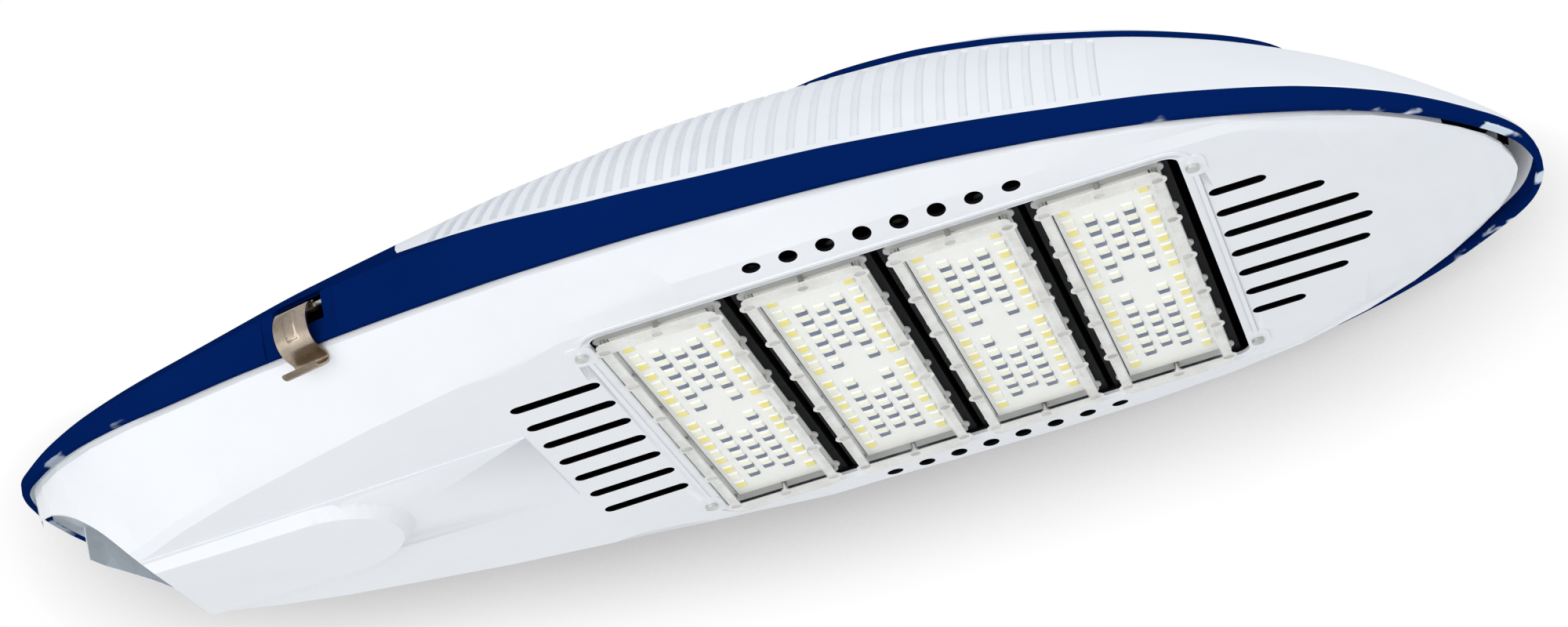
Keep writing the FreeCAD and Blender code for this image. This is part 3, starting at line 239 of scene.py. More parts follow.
def oval_share(x, spare):
    """Returns where the crown cap, widened by spare, ends at x as a share of the half width."""
    along = (x - CAP_CENTRE_X) / (CAP_HALF_LENGTH + spare)
    if abs(along) >= 1:
        return 0.0
    return (CAP_HALF_WIDTH + spare) * math.sqrt(1 - along * along) / (half_width(x) - BAND_LEAN)


def groove_depth(x):
    """Returns the depth of the cross groove at x, which is 0 between the grooves."""
    for start, pitch, count, depth in GROOVES:
        index = round((x - start) / pitch)
        if 0 <= index < count and abs(x - start - pitch * index) < GROOVE_HALF - GROOVE_EDGE / 2:
            return depth
    return 0.0


def dome_stations():
    """Returns the x of each ring of the skin, closer together at both ends and at the grooves."""
    first = HALF_WIDTH[0][0]
    last = HALF_WIDTH[-1][0]
    floor_half = GROOVE_HALF - GROOVE_EDGE
    stations = [first + (last - first) * i / EVEN_RINGS for i in range(EVEN_RINGS + 1)]
    stations += [first + END_REACH * (i / END_RINGS) ** 2 for i in range(END_RINGS + 1)]
    stations += [last - END_REACH * (i / END_RINGS) ** 2 for i in range(END_RINGS + 1)]
    for start, pitch, count, _ in GROOVES:
        for i in range(count):
            centre = start + pitch * i
            stations = [x for x in stations if abs(x - centre) > GROOVE_HALF + GROOVE_RING_GAP]
            stations += [centre + d for d in (-GROOVE_HALF, -floor_half, floor_half, GROOVE_HALF)]
    for side in (-1, 1):
        tip = CAP_CENTRE_X + side * CAP_HALF_LENGTH
        stations += [tip - side * d for d in CAP_TIP_OFFSETS]
    stations.sort()
    kept = [stations[0]]
    for x in stations[1:]:
        if x - kept[-1] > LEAST_RING_GAP:
            kept.append(x)
    kept[-1] = last
    return kept


def row_shares(x):
    """Returns the shares of the half width that the skin's rows follow at x, and each row's groove weight."""
    width = half_width(x) - BAND_LEAN
    height = max(crown_height(x) - rim_height(x) - band_height(x), 2.0)
    start = max(0.02, 1 - GROOVE_BAND_MARGIN / height) ** (1 / section_power(x))
    capped = oval_share(x, GROOVE_CAP_MARGIN)
    stop = max(capped, 0.03)
    edge = max(oval_share(x, 0.0), 0.012)
    over = 0.0 if capped > 0 else 1.0
    start = max(start, stop + LEAST_DOME_WIDTH / width)
    shares = [1.0, (1 + start) / 2, start]
    weights = [0.0, 0.0, 0.0]
    first = start - GROOVE_FADE / width
    last = stop + GROOVE_FADE / width
    for i in range(DOME_ROWS + 1):
        shares.append(first + (last - first) * i / DOME_ROWS)
        weights.append(1.0)
    inner_edge = edge - CAP_EDGE_HALF / width
    for share in (stop, (stop + edge) / 2, edge + CAP_EDGE_HALF / width, inner_edge):
        shares.append(share)
        weights.append(over)
    for i in range(1, CAP_ROWS + 1):
        shares.append(inner_edge * (1 - i / CAP_ROWS))
        weights.append(over)
    return shares, weights


def outer_ring(x):
    """Returns half a ring of the outer skin at x, from the rim up to the crown, as y and z pairs."""
    width = half_width(x)
    low = rim_height(x)
    shoulder, band_top = dome_point(x, 1.0)
    foot = width - (width - shoulder) * SKIRT_DEPTH / (SKIRT_DEPTH + band_top - low)
    ring = [(foot - RIM_BEVEL, low), (foot, low + RIM_BEVEL)]
    ring += [(foot + (shoulder - foot) * t, low + (band_top - low) * t) for t in (0.35, 0.7)]
    depth = groove_depth(x)
    raised = oval_share(x, 0.0)
    shares, weights = row_shares(x)
    for i, (share, weight) in enumerate(zip(shares, weights)):
        y, z = dome_point(x, share)
        if depth * weight > 0:
            slope = (z - dome_point(x, share + 0.002)[1]) / (0.002 * (half_width(x) - BAND_LEAN))
            length = math.hypot(1.0, slope)
            y -= depth * weight * slope / length
            z -= depth * weight / length
        if share < raised:
            cap_share = share * (half_width(x) - BAND_LEAN) / (half_width(x) + CAP_RISE - BAND_LEAN)
            z = dome_point(x, cap_share, -CAP_RISE)[1]
        ring.append((y, z))
    return ring


def inner_ring(x):
    """Returns half a ring of the inner skin that belongs to the outer ring at x."""
    shoulder, band_top = dome_point(x, 1.0, SHELL_WALL)
    low = min(rim_height(x), band_top - 0.3)
    ring = [(shoulder + 0.3, low)]
    ring += [dome_point(x, math.cos(math.pi / 2 * i / INNER_ROWS), SHELL_WALL) for i in range(INNER_ROWS + 1)]
    return ring


def whole_ring(x, half):
    """Mirrors half a ring into a whole one, from the near rim over the crown to the far rim."""
    near = [(x, -y, z) for y, z in half]
    far = [(x, y, z) for y, z in reversed(half[:-1])]
    return near + far


def grid_faces(start, rings, count, turned):
    """Returns the four-sided faces between rings of count points each, the first at start."""
    faces = []
    for i in range(rings - 1):
        for j in range(count - 1):
            a = start + i * count + j
            quad = (a, a + 1, a + count + 1, a + count)
            faces.append(quad[::-1] if turned else quad)
    return faces


def housing_skin():
    """Returns the points and faces of the closed skin of the upper shell, and which faces are inside."""
    stations = dome_stations()
    middle = (stations[0] + stations[-1]) / 2
    shrink = 1 - 2 * SHELL_WALL / (stations[-1] - stations[0])
    outer = [whole_ring(x, outer_ring(x)) for x in stations]
    inner = [whole_ring(middle + (x - middle) * shrink, inner_ring(x)) for x in stations]
    rings = len(stations)
    wide = len(outer[0])
    narrow = len(inner[0])
    points = [p for ring in outer for p in ring]
    base = len(points)
    points += [p for ring in inner for p in ring]
    faces = grid_faces(0, rings, wide, False)
    inside_from = len(faces)
    faces += grid_faces(base, rings, narrow, True)
    inside_to = len(faces)
    for i in range(rings - 1):
        a, b = i * wide, (i + 1) * wide
        c, d = base + i * narrow, base + (i + 1) * narrow
        faces.append((a, b, d, c))
        a, b = a + wide - 1, b + wide - 1
        c, d = c + narrow - 1, d + narrow - 1
        faces.append((a, c, d, b))
    for ring, turned in ((0, False), (rings - 1, True)):
        front = [ring * wide + j for j in range(wide)]
        back = [base + ring * narrow + j for j in range(narrow)]
        bridge = [front[0], front[-1], back[-1], back[0]]
        faces.append(tuple(front[::-1] if turned else front))
        faces.append(tuple(back if turned else back[::-1]))
        faces.append(tuple(bridge if turned else bridge[::-1]))
    return points, faces, inside_from, inside_to


class Shader:
    """A small helper that builds one node material."""

    def __init__(self, name):
        self.material = bpy.data.materials.new(name)
        self.material.use_nodes = True
        self.tree = self.material.node_tree
        self.tree.nodes.clear()
        self.output = self.tree.nodes.new("ShaderNodeOutputMaterial")
        self.coords = self.tree.nodes.new("ShaderNodeTexCoord")
        self.bsdf = self.tree.nodes.new("ShaderNodeBsdfPrincipled")
        self.link(self.bsdf.outputs["BSDF"], self.output.inputs["Surface"])

    def link(self, source, target):
        self.tree.links.new(source, target)

    def put(self, socket, value):
        """Sets a socket to a number, a colour or another node's output."""
        if isinstance(value, bpy.types.NodeSocket):
            self.link(value, socket)
        elif isinstance(value, (tuple, list)) and len(value) == 3 and socket.type == "RGBA":
            socket.default_value = (value[0], value[1], value[2], 1.0)
        else:
            socket.default_value = value

    def set(self, **values):
        for name, value in values.items():
            self.put(self.bsdf.inputs[name.replace("_", " ")], value)

    def math(self, operation, a, b=0.0):
        node = self.tree.nodes.new("ShaderNodeMath")
        node.operation = operation
        self.put(node.inputs[0], a)
        self.put(node.inputs[1], b)
        return node.outputs[0]

    def axes(self):
        node = self.tree.nodes.new("ShaderNodeSeparateXYZ")
        self.link(self.coords.outputs["Object"], node.inputs[0])
        return node.outputs[0], node.outputs[1], node.outputs[2]

    def noise(self, scale, detail=3.0, rough=0.5, stretch=(1, 1, 1)):
        mapping = self.tree.nodes.new("ShaderNodeMapping")
        mapping.inputs["Scale"].default_value = stretch
        self.link(self.coords.outputs["Object"], mapping.inputs["Vector"])
        node = self.tree.nodes.new("ShaderNodeTexNoise")
        node.inputs["Scale"].default_value = scale
        node.inputs["Detail"].default_value = detail
        node.inputs["Roughness"].default_value = rough
        self.link(mapping.outputs[0], node.inputs["Vector"])
        return node.outputs["Fac"]

    def cells(self, scale):
        node = self.tree.nodes.new("ShaderNodeTexVoronoi")
        node.inputs["Scale"].default_value = scale
        self.link(self.coords.outputs["Object"], node.inputs["Vector"])
        return node.outputs["Distance"]

    def step(self, value, low, high):
        """Returns 0 below low and 1 above high, with a smooth change between them."""
        node = self.tree.nodes.new("ShaderNodeMapRange")
        node.interpolation_type = "SMOOTHSTEP"
        self.put(node.inputs["Value"], value)
        node.inputs["From Min"].default_value = low
        node.inputs["From Max"].default_value = high
        return node.outputs["Result"]

    def ramp(self, value, low, high):
        """Maps 0 to 1 onto low to high."""
        node = self.tree.nodes.new("ShaderNodeMapRange")
        self.put(node.inputs["Value"], value)
        node.inputs["To Min"].default_value = low
        node.inputs["To Max"].default_value = high
        return node.outputs["Result"]

    def mix(self, factor, a, b):
        node = self.tree.nodes.new("ShaderNodeMix")
        node.data_type = "RGBA"
        self.put(node.inputs["Factor"], factor)
        self.put(node.inputs[6], a)
        self.put(node.inputs[7], b)
        return node.outputs[2]

    def height_of_x(self, points, top):
        """Returns the height of a side-view line at the point's x, in row-frame metres."""
        x = self.axes()[0]
        share = self.tree.nodes.new("ShaderNodeMapRange")
        self.put(share.inputs["Value"], x)
        share.inputs["From Min"].default_value = row(points[0][0], 0, 0).x
        share.inputs["From Max"].default_value = row(points[-1][0], 0, 0).x
        node = self.tree.nodes.new("ShaderNodeFloatCurve")
        self.link(share.outputs["Result"], node.inputs["Value"])
        curve = node.mapping.curves[0]
        for i, (px, pz) in enumerate(points):
            place = ((px - points[0][0]) / (points[-1][0] - points[0][0]), pz / top)
            if i == 0:
                curve.points[0].location = place
            elif i == len(points) - 1:
                curve.points[-1].location = place
            else:
                curve.points.new(*place)
        for point in curve.points:
            point.handle_type = "VECTOR"
        node.mapping.update()
        scaled = self.math("MULTIPLY", node.outputs[0], top / 1000)
        return self.math("SUBTRACT", scaled, ORIGIN_Z / 1000)

    def bump(self, height, distance, strength=1.0):
        node = self.tree.nodes.new("ShaderNodeBump")
        node.inputs["Distance"].default_value = distance
        node.inputs["Strength"].default_value = strength
        self.put(node.inputs["Height"], height)
        self.link(node.outputs[0], self.bsdf.inputs["Normal"])


def white_paint(name, colour, shade):
    """Glossy white powder coat: faint orange peel, faint grime and tiny dark specks."""
    s = Shader(name)
    grime = s.noise(9.0, 5.0, 0.6)
    specks = s.math("MULTIPLY", s.step(s.cells(260.0), 0.055, 0.03), s.step(s.noise(30.0), 0.60, 0.66))
    tone = s.mix(s.step(grime, 0.35, 0.8), colour, shade)
    s.set(Base_Color=s.mix(s.math("MULTIPLY", specks, 0.45), tone, (0.30, 0.29, 0.27)))
    s.set(Roughness=s.ramp(s.noise(60.0), 0.26, 0.38), Coat_Weight=0.2, Coat_Roughness=0.15)
    s.bump(s.noise(420.0, 2.0), 0.0002, 0.10)
    return s.material


def housing_paint():
    """White dome, navy band and cap stripe, and chipped paint along the rim."""
    s = Shader("housing_two_tone")
    x, y, z = s.axes()
    band_line = s.height_of_x(BAND_TOP, BAND_TOP_SCALE)
    rim_line = s.height_of_x(RIM_HEIGHT, RIM_SCALE)
    below_line = s.step(s.math("SUBTRACT", z, band_line), 0.0002, -0.0002)
    along = s.math("DIVIDE", s.math("SUBTRACT", x, (CAP_CENTRE_X - ORIGIN_X) / 1000), CAP_HALF_LENGTH / 1000)
    across = s.math("DIVIDE", y, CAP_HALF_WIDTH / 1000)
    squares = s.math("MULTIPLY", along, along), s.math("MULTIPLY", across, across)
    radius = s.math("SQRT", s.math("ADD", *squares))
    stripe = s.step(s.math("ABSOLUTE", s.math("SUBTRACT", radius, 1.0)), 0.012, 0.008)
    navy = s.math("MAXIMUM", below_line, stripe)
    grime = s.noise(7.0, 5.0, 0.6)
    white = s.mix(s.step(grime, 0.4, 0.8), (0.80, 0.815, 0.84), (0.74, 0.76, 0.79))
    blue = s.mix(s.noise(5.0, 4.0), (0.0006, 0.009, 0.070), (0.001, 0.014, 0.105))
    colour = s.mix(navy, white, blue)
    above_rim = s.math("SUBTRACT", z, rim_line)
    ragged = s.math("SUBTRACT", above_rim, s.math("MULTIPLY", s.noise(120.0, 6.0, 0.7), 0.0030))
    near_rim = s.step(ragged, 0.0002, -0.0006)
    patches = s.step(s.noise(30.0, 3.0), 0.55, 0.62)
    front = s.math("MAXIMUM", s.step(x, 0.50, 0.62), s.math("MULTIPLY", s.step(x, 0.02, -0.05), 0.5))
    chips = s.math("MULTIPLY", s.math("MULTIPLY", near_rim, patches), front)
    colour = s.mix(chips, colour, (0.60, 0.68, 0.76))
    s.set(Base_Color=colour, Specular_IOR_Level=0.0)
    s.set(Roughness=s.ramp(s.noise(50.0), 0.18, 0.30))
    s.bump(s.noise(380.0, 2.0), 0.0002, 0.10)
    return s.material


def metal(name, colour, dark, rough_low, rough_high, stretch=(1, 1, 1), scale=300.0):
    """Metal with darker clouds and uneven roughness."""
    s = Shader(name)
    tone = s.mix(s.step(s.noise(scale / 6, 4.0, 0.6, stretch), 0.35, 0.7), colour, dark)
    s.set(Base_Color=tone, Metallic=1.0)
    s.set(Roughness=s.ramp(s.noise(scale, 3.0, 0.5, stretch), rough_low, rough_high))
    s.bump(s.noise(scale, 3.0, 0.5, stretch), 0.0001, 0.3)
    return s.material


def plastic(name, colour, dark, rough, scale=500.0):
    """Plastic, rubber or other smooth matter with a faint grain."""
    s = Shader(name)
    s.set(Base_Color=s.mix(s.noise(scale / 20, 4.0), colour, dark))
    s.set(Roughness=s.ramp(s.noise(scale), rough - 0.06, rough + 0.08))
    s.bump(s.noise(scale, 2.0), 0.0001, 0.25)
    return s.material


def black_coat_and_shade(name):
    """Matt black that takes hardly any shine: a black coat, and painted shade on the insides of the shell and
    cover.
    """
    s = Shader(name)
    s.set(Base_Color=s.mix(s.noise(40.0, 4.0), (0.007, 0.007, 0.008), (0.003, 0.003, 0.004)))
    s.set(Roughness=s.ramp(s.noise(90.0), 0.60, 0.75), Specular_IOR_Level=0.10)
    s.bump(s.noise(300.0, 2.0), 0.0001, 0.2)
    return s.material


def lens_plastic():
    """Clear plate: see-through over the board, and milky and slightly yellowed along its margins."""
    s = Shader("lens_clear_plastic")
    x, y, z = s.axes()
    pitch = MODULE_PITCH / 1000
    first = row(FIRST_EDGE_X, 0, 0).x
    within = s.math("MODULO", s.math("SUBTRACT", x, first), pitch)
    u = s.math("ABSOLUTE", s.math("SUBTRACT", within, pitch / 2))
    v = s.math("ABSOLUTE", y)
    margin = s.math("MAXIMUM", s.step(u, *WINDOW_SIDE), s.step(v, *WINDOW_END))
    wave = s.math("COSINE", s.math("MULTIPLY", y, 2 * math.pi / POCKET_PITCH))
    pocket = s.math("MULTIPLY", s.step(wave, -0.1, 0.9), s.step(u, *POCKET_SIDE))
    ivory = s.mix(s.step(s.noise(60.0, 5.0, 0.6), 0.35, 0.75), (0.80, 0.79, 0.745), (0.66, 0.645, 0.595))
    ivory = s.mix(s.math("MULTIPLY", pocket, 0.6), ivory, (0.86, 0.86, 0.83))
    s.set(Base_Color=s.mix(margin, (0.93, 0.93, 0.92), ivory))
    haze = s.ramp(s.step(s.noise(45.0, 5.0, 0.65), 0.45, 0.8), 0.02, 0.14)
    front = s.step(z, *[row(0, 0, height).z for height in PLATE_FACE_Z])
    s.set(Alpha=s.math("MULTIPLY", front, s.math("MAXIMUM", haze, s.math("MULTIPLY", margin, 0.90))))
    s.set(Roughness=s.ramp(s.noise(160.0, 4.0), 0.18, 0.34), Specular_IOR_Level=0.35)
    s.bump(s.noise(170.0, 3.0), 0.0005, 0.25)
    return s.material


cover_white = white_paint("cover_white_paint", (0.80, 0.81, 0.83), (0.76, 0.775, 0.80))
# Painted shade: the inside of the shell and cover and the walls of the cover's openings are coloured black.
painted_shade_inside = black_coat_and_shade("inside_painted_shade")
# Pale bluish inside of the hood, made lighter as painted light where it lies in shade.
hood_inside_lightened = plastic("hood_inside_painted_light", (0.86, 0.91, 0.95), (0.78, 0.85, 0.91), 0.4)
housing_two_tone = housing_paint()
screw_steel = metal("screw_steel", (0.78, 0.77, 0.74), (0.55, 0.54, 0.51), 0.35, 0.55)
pin_steel = metal("pin_steel", (0.62, 0.62, 0.62), (0.45, 0.45, 0.45), 0.2, 0.4, (1, 8, 1))
zinc = metal("zinc_sheet", (0.66, 0.68, 0.70), (0.52, 0.54, 0.57), 0.3, 0.5)
cast = metal("cast_aluminium", (0.60, 0.61, 0.62), (0.48, 0.49, 0.50), 0.45, 0.65)
# Black metal for the heatsinks, module frames and driver; on the driver tray the black is painted shade, seen
# through the cover's slots.
black_metal_and_tray_shade = black_coat_and_shade("black_heatsink_and_tray_shade")
spring = metal("spring_steel", (0.47, 0.39, 0.31), (0.22, 0.17, 0.12), 0.20, 0.42)
board_mask = plastic("board_mask", (0.94, 0.93, 0.87), (0.90, 0.89, 0.84), 0.45)
phosphor = plastic("chip_phosphor", (0.93, 0.78, 0.16), (0.94, 0.86, 0.34), 0.35, 900.0)
phosphor_pale = plastic("chip_phosphor_pale", (0.94, 0.92, 0.66), (0.93, 0.92, 0.78), 0.35, 900.0)
chip_white = plastic("chip_package", (0.93, 0.93, 0.92), (0.90, 0.90, 0.90), 0.3, 900.0)
# Dark grey-blue colour of the painted chip reflections.
chip_reflection_dark = plastic("painted_chip_reflection", (0.05, 0.07, 0.12), (0.16, 0.19, 0.27), 0.3, 4000.0)

MATERIALS = {
    "hinge_pin": pin_steel, "latch_pin": pin_steel, "side_latch": spring, "pole_saddle": cast,
    "pole_strap": zinc, "clamp_bolts": screw_steel, "driver_tray": black_metal_and_tray_shade, "tray_screws": screw_steel,
    "driver_screws": screw_steel, "frame_screws": screw_steel, "module_screws": screw_steel,
    "module_frame": black_metal_and_tray_shade, "led_driver": black_metal_and_tray_shade,
    "surge_protector": plastic("surge_case", (0.05, 0.05, 0.055), (0.035, 0.035, 0.04), 0.5),
    "terminal_block": plastic("terminal_plastic", (0.80, 0.79, 0.72), (0.72, 0.71, 0.64), 0.4),
    "heatsink": black_metal_and_tray_shade, "led_board": board_mask, "led_chips": phosphor,
    "seal": plastic("seal_rubber", (0.62, 0.62, 0.60), (0.55, 0.55, 0.53), 0.6),
    "lens_plate": lens_plastic(), "lens_screws": screw_steel, "upper_housing": housing_two_tone,
    "lower_cover": cover_white,
}

for name, node in nodes.items():
    base = name.rsplit("_", 1)[0] if name[-1].isdigit() else name
    node.data.materials.clear()
    node.data.materials.append(MATERIALS[base])


def show(name, mesh, materials, replaced, sharp=32.0):
    """Adds a mesh as a piece that stands for CAD nodes of one body."""
    picked = [polygon.material_index for polygon in mesh.polygons]
    mesh.materials.clear()
    for material in materials:
        mesh.materials.append(material)
    for polygon, index in zip(mesh.polygons, picked):
        polygon.material_index = min(index, len(materials) - 1)
        polygon.use_smooth = True
    mesh.set_sharp_from_angle(angle=math.radians(sharp))
    piece = bpy.data.objects.new(name, mesh)
    bpy.context.scene.collection.objects.link(piece)
    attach(piece, body_of[replaced[0]])
    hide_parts(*replaced)
    return piece


def mesh_from(name, points, faces):
    """Returns a mesh in metres from points in work-frame millimetres."""
    mesh = bpy.data.meshes.new(name)
    mesh.from_pydata([row(*p) for p in points], [], faces)
    return mesh


def tidy_mesh(mesh):
    """Welds doubled points and turns all faces outwards."""
    work = bmesh.new()
    work.from_mesh(mesh)
    bmesh.ops.remove_doubles(work, verts=work.verts, dist=1e-6)
    bmesh.ops.recalc_face_normals(work, faces=work.faces)
    work.to_mesh(mesh)
    work.free()


def latch_point(a, s, z):
    """Turns the latch's own frame (a along the shell, s outwards) into the work frame."""
    turn = math.radians(-LATCH_TURN)
    x = a * math.cos(turn) + s * math.sin(turn)
    y = a * math.sin(turn) - s * math.cos(turn)
    return x + LATCH_X, y - half_width(LATCH_X), z


def latch_cutter(half, s0, s1, z0, z1, radius):
    """Returns points and faces of a block in the latch's frame with its top corners rounded."""
    outline = [(-half, z0), (half, z0)]
    for corner, start in ((half - radius, 0), (radius - half, 90)):
        for i in range(7):
            angle = math.radians(start + 15 * i)
            outline.append((corner + radius * math.cos(angle), z1 - radius + radius * math.sin(angle)))
    points = [latch_point(a, s, z) for s in (s0, s1) for a, z in outline]
    count = len(outline)
    faces = [tuple(range(count)), tuple(range(2 * count - 1, count - 1, -1))]
    faces += [(i, count + i, count + (i + 1) % count, (i + 1) % count) for i in range(count)]
    return points, faces


def cut(mesh, name, points, faces):
    """Returns the mesh with a block, given as points and faces, cut out of it."""
    tool_mesh = mesh_from(name + "_tool", points, faces)
    tidy_mesh(tool_mesh)
    body = bpy.data.objects.new(name + "_body", mesh)
    tool = bpy.data.objects.new(name + "_tool", tool_mesh)
    for thing in (body, tool):
        bpy.context.scene.collection.objects.link(thing)
    step = body.modifiers.new("cut", "BOOLEAN")
    step.operation = "DIFFERENCE"
    step.solver = "EXACT"
    step.use_self = False
    step.object = tool
    view = body.evaluated_get(bpy.context.evaluated_depsgraph_get())
    result = bpy.data.meshes.new_from_object(view)
    for thing in (body, tool):
        bpy.data.objects.remove(thing)
    return result


def add_rod(work, place, radius, length):
    """Adds a closed rod along the z of its place."""
    bmesh.ops.create_cone(work, cap_ends=True, segments=POST_SEGMENTS, radius1=radius / 1000,
                          radius2=radius / 1000, depth=length / 1000, matrix=place)


def with_posts(mesh, roof):
    """Returns the mesh with the posts of the tray, the pillars of the clamp and the lugs of the hinge."""
    work = bmesh.new()
    work.from_mesh(mesh)
    before = len(work.faces)
    for x, y, radius, low in INNER_POSTS:
        high = roof.ray_cast(Vector((x, y, low)), Vector((0, 0, 1)))[0].z + 1.0
        add_rod(work, Matrix.Translation(row(x, y, (low + high) / 2)), radius, high - low)
    for side in (-1, 1):
        place = Matrix.Translation(row(LUG_X, side * LUG_Y, LUG_Z)) @ Matrix.Rotation(math.pi / 2, 4, "X")
        add_rod(work, place, LUG_RADIUS, LUG_LENGTH)
    work.faces.ensure_lookup_table()
    for face in work.faces[before:]:
        face.material_index = 1
    work.to_mesh(mesh)
    work.free()
    return mesh


def upper_skin():
    """Adds the smooth skin of the upper shell."""
    points, faces, inside_from, inside_to = housing_skin()
    mesh = mesh_from("upper_skin", points, faces)
    for material in (housing_two_tone, painted_shade_inside, hood_inside_lightened):
        mesh.materials.append(material)
    # Inner faces are dark as painted shade, those inside the hood are pale as painted light, and those of the
    # skirt at the nose keep the outer paint.
    for polygon in mesh.polygons[inside_from:inside_to]:
        polygon.material_index = 2 if polygon.center.x < row(HOOD_END_X, 0, 0).x else 1
        if polygon.center.x > row(NOSE_SKIRT_X, 0, 0).x and polygon.center.z < row(0, 0, NOSE_SKIRT_Z).z:
            polygon.material_index = 0
    tidy_mesh(mesh)
    mesh = cut(mesh, "recess", *latch_cutter(*RECESS_CUTTER))
    mesh = cut(mesh, "latch_slot", *latch_cutter(*SLOT_CUTTER))
    mesh = with_posts(mesh, BVHTree.FromPolygons([Vector(p) for p in points], faces))
    return show("upper_skin", mesh, [housing_two_tone, painted_shade_inside, hood_inside_lightened], ["upper_housing"])


def smooth_copy(name, materials, chooser=None, sharp=32.0):
    """Adds a copy of a CAD node with smooth shading, with a material picked for each face."""
    mesh = nodes[name].data.copy()
    tidy_mesh(mesh)
    if chooser:
        for polygon in mesh.polygons:
            polygon.material_index = chooser(polygon.center, polygon.normal)
    return show(name + "_smooth", mesh, materials, [name], sharp)


def cover_face(centre, normal):
    """Returns 0 for the painted outer faces of the cover, 1 for its inside and the walls of its openings,
    dark as painted shade, 2 for the hood end, made pale as painted light.
    """
    x = centre.x * 1000 + ORIGIN_X
    y = centre.y * 1000
    z = centre.z * 1000 + ORIGIN_Z
    upright = abs(normal.z) <= UPRIGHT_NORMAL_Z
    inward = normal.x * (x - MIDDLE_X) + normal.y * y < 0
    by_slots = abs(y) < SLOTS_HALF_WIDTH and any(low < x < high for low, high in SLOT_RANGES)
    by_vents = abs(abs(y) - VENT_Y) < VENT_REACH_Y and abs(x - VENT_X) < VENT_REACH_X
    inside = normal.z > UPRIGHT_NORMAL_Z or (upright and ((z > FACE_TOP and inward) or by_slots or by_vents))
    if not inside:
        return 0
    return 2 if x < HOOD_END_X else 1


def block(points, faces, slots, x, y, half_x, half_y, z0, z1, slot, shrink):
    """Adds one small block to lists of points, faces and slots, smaller at its lower face."""
    base = len(points)
    for z, inset in ((z1, 0.0), (z0, shrink)):
        for sx, sy in ((-1, -1), (1, -1), (1, 1), (-1, 1)):
            points.append((x + sx * (half_x - inset), y + sy * (half_y - inset), z))
    sides = [(0, 1, 5, 4), (1, 2, 6, 5), (2, 3, 7, 6), (3, 0, 4, 7), (4, 5, 6, 7), (3, 2, 1, 0)]
    faces.extend([tuple(base + i for i in side) for side in sides])
    slots.extend([slot] * len(sides))


def chip_with_reflection(points, faces, slots, x, y):
    """Adds a chip with pale phosphor and a dark block beside it that is a painted reflection."""
    block(points, faces, slots, x, y, *PACKAGE)
    block(points, faces, slots, x, y - PHOSPHOR_SHIFT, *PHOSPHOR)
    block(points, faces, slots, x, y + REFLECTION_SHIFT, *CHIP_REFLECTION)


def led_array(index):
    """Adds the chips of one module: packages, phosphor and the dark blocks beside them that are painted
    reflections.
    """
    centre = (index - 1.5) * MODULE_PITCH
    points = []
    faces = []
    slots = []
    for side in (-1, 1):
        for sx in (-1, 1):
            for i, y in enumerate(CHIP_OUTER_ROWS):
                phosphor_block = LONG_PHOSPHOR_PALE if i % 3 == 1 else LONG_PHOSPHOR
                block(points, faces, slots, centre + sx * CHIP_OUTER_X, side * y, *LONG_PACKAGE)
                block(points, faces, slots, centre + sx * CHIP_OUTER_X, side * y, *phosphor_block)
            for y in CHIP_INNER_ROWS:
                chip_with_reflection(points, faces, slots, centre + sx * CHIP_INNER_X, side * y)
        for y in CHIP_CENTRE_ROWS:
            chip_with_reflection(points, faces, slots, centre, side * y)
    mesh = mesh_from("led_array", points, faces)
    for i, polygon in enumerate(mesh.polygons):
        polygon.material_index = slots[i]
    name = "led_array_" + str(index + 1)
    node = "led_chips_" + str(index + 1)
    return show(name, mesh, [chip_white, phosphor, phosphor_pale, chip_reflection_dark], [node])


upper_skin()
smooth_copy("lower_cover", [cover_white, painted_shade_inside, hood_inside_lightened], cover_face, 7.0)
smooth_copy("side_latch", [spring], None, 40.0)
for number in range(4):
    led_array(number)


def camera():
    """Adds the camera that stands where the photo's camera stood."""
    data = bpy.data.cameras.new("photo_camera")
    data.sensor_width = SENSOR_WIDTH
    data.lens = FOCAL_LENGTH
    data.clip_end = 50.0
    thing = bpy.data.objects.new("photo_camera", data)
    bpy.context.scene.collection.objects.link(thing)
    turn = Matrix((RIGHT, UP, RIGHT.cross(UP))).transposed().to_4x4()
    thing.matrix_world = Matrix.Translation(EYE) @ turn
    bpy.context.scene.camera = thing


def area_light(name, place, target, size, power):
    """Adds a white square light that faces the target."""
    data = bpy.data.lights.new(name, "AREA")
    data.size = size
    data.energy = power
    thing = bpy.data.objects.new(name, data)
    bpy.context.scene.collection.objects.link(thing)
    thing.location = place
    thing.rotation_euler = (Vector(target) - Vector(place)).to_track_quat("-Z", "Y").to_euler()


def world():
    """Adds the surroundings: pure white as the camera sees them, a little bluish as light."""
    scene_world = bpy.data.worlds.new("studio")
    bpy.context.scene.world = scene_world
    scene_world.use_nodes = True
    tree = scene_world.node_tree
    tree.nodes.clear()
    out = tree.nodes.new("ShaderNodeOutputWorld")
    seen = tree.nodes.new("ShaderNodeBackground")
    seen.inputs["Color"].default_value = (1, 1, 1, 1)
    seen.inputs["Strength"].default_value = 1.0
    lit = tree.nodes.new("ShaderNodeBackground")
    lit.inputs["Color"].default_value = (0.94, 0.97, 1.0, 1)
    lit.inputs["Strength"].default_value = WORLD_STRENGTH
    path = tree.nodes.new("ShaderNodeLightPath")
    chooser = tree.nodes.new("ShaderNodeMixShader")
    tree.links.new(path.outputs["Is Camera Ray"], chooser.inputs[0])
    tree.links.new(lit.outputs[0], chooser.inputs[1])
    tree.links.new(seen.outputs[0], chooser.inputs[2])
    tree.links.new(chooser.outputs[0], out.inputs["Surface"])


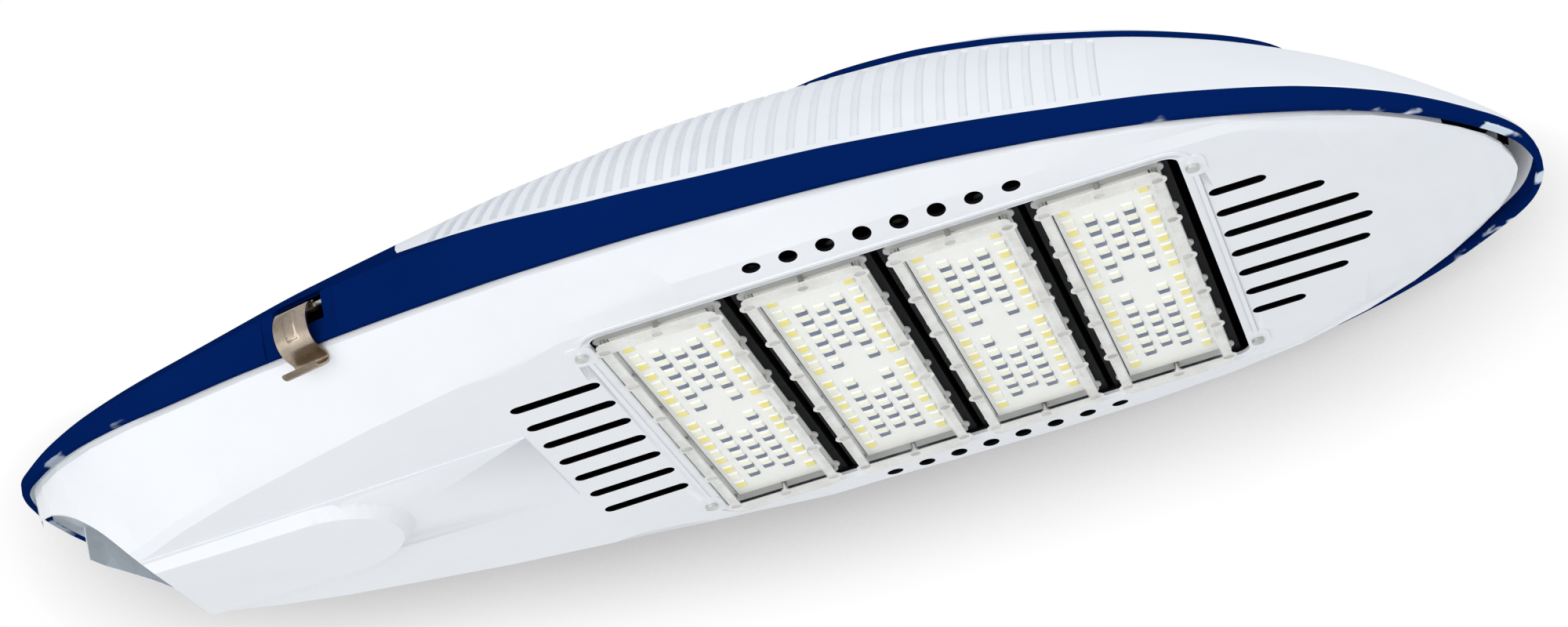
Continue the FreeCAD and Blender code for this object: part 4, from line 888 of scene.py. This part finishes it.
def backdrop():
    """Adds a white card close behind the lamp that only shows the lamp's soft contact shadow."""
    material = bpy.data.materials.new("backdrop_white")
    material.use_nodes = True
    tree = material.node_tree
    tree.nodes.clear()
    out = tree.nodes.new("ShaderNodeOutputMaterial")
    near = tree.nodes.new("ShaderNodeAmbientOcclusion")
    near.inputs["Distance"].default_value = SHADOW_REACH
    near.samples = SHADOW_SAMPLES
    tone = tree.nodes.new("ShaderNodeMapRange")
    tree.links.new(near.outputs["AO"], tone.inputs["Value"])
    tone.inputs["From Min"].default_value = SHADOW_OPENNESS[0]
    tone.inputs["From Max"].default_value = SHADOW_OPENNESS[1]
    tone.inputs["To Min"].default_value = SHADOW_BRIGHTNESS[0]
    tone.inputs["To Max"].default_value = SHADOW_BRIGHTNESS[1]
    glow = tree.nodes.new("ShaderNodeEmission")
    glow.inputs["Color"].default_value = (1, 1, 1, 1)
    tree.links.new(tone.outputs["Result"], glow.inputs["Strength"])
    clear = tree.nodes.new("ShaderNodeBsdfTransparent")
    path = tree.nodes.new("ShaderNodeLightPath")
    side = tree.nodes.new("ShaderNodeNewGeometry")
    front = tree.nodes.new("ShaderNodeMath")
    front.operation = "SUBTRACT"
    front.use_clamp = True
    tree.links.new(path.outputs["Is Camera Ray"], front.inputs[0])
    tree.links.new(side.outputs["Backfacing"], front.inputs[1])
    chooser = tree.nodes.new("ShaderNodeMixShader")
    tree.links.new(front.outputs[0], chooser.inputs[0])
    tree.links.new(clear.outputs[0], chooser.inputs[1])
    tree.links.new(glow.outputs[0], chooser.inputs[2])
    tree.links.new(chooser.outputs[0], out.inputs["Surface"])
    forward = UP.cross(RIGHT)
    corners = []
    for across, depth in CARD:
        for rise in (-CARD_HALF_HEIGHT, CARD_HALF_HEIGHT):
            corners.append(EYE + forward * depth + RIGHT * across + UP * rise)
    mesh = bpy.data.meshes.new("backdrop")
    mesh.from_pydata(corners, [], [(2 * i, 2 * i + 2, 2 * i + 3, 2 * i + 1) for i in range(len(CARD) - 1)])
    for polygon in mesh.polygons:
        polygon.use_smooth = True
    mesh.materials.append(material)
    card = bpy.data.objects.new("backdrop", mesh)
    bpy.context.scene.collection.objects.link(card)


def floor():
    """Adds the plain pale floor, well below the lamp and seen from above only."""
    s = Shader("floor_pale")
    s.set(Base_Color=s.mix(s.noise(3.0), (0.98, 0.98, 0.98), (0.96, 0.96, 0.96)), Roughness=0.8)
    side = s.tree.nodes.new("ShaderNodeNewGeometry")
    s.set(Specular_IOR_Level=0.1, Alpha=s.math("SUBTRACT", 1.0, side.outputs["Backfacing"]))
    corners = [(sx * FLOOR_HALF, sy * FLOOR_HALF, FLOOR_Z) for sx, sy in ((-1, -1), (1, -1), (1, 1), (-1, 1))]
    mesh = bpy.data.meshes.new("floor")
    mesh.from_pydata(corners, [], [(0, 1, 2, 3)])
    mesh.materials.append(s.material)
    ground = bpy.data.objects.new("floor", mesh)
    bpy.context.scene.collection.objects.link(ground)


camera()
world()
backdrop()
floor()
bpy.context.scene.view_settings.view_transform = "Standard"
for name, (offset, size, power) in LIGHTS.items():
    area_light(name, EYE + Vector(offset), LAMP_MIDDLE, size, power)
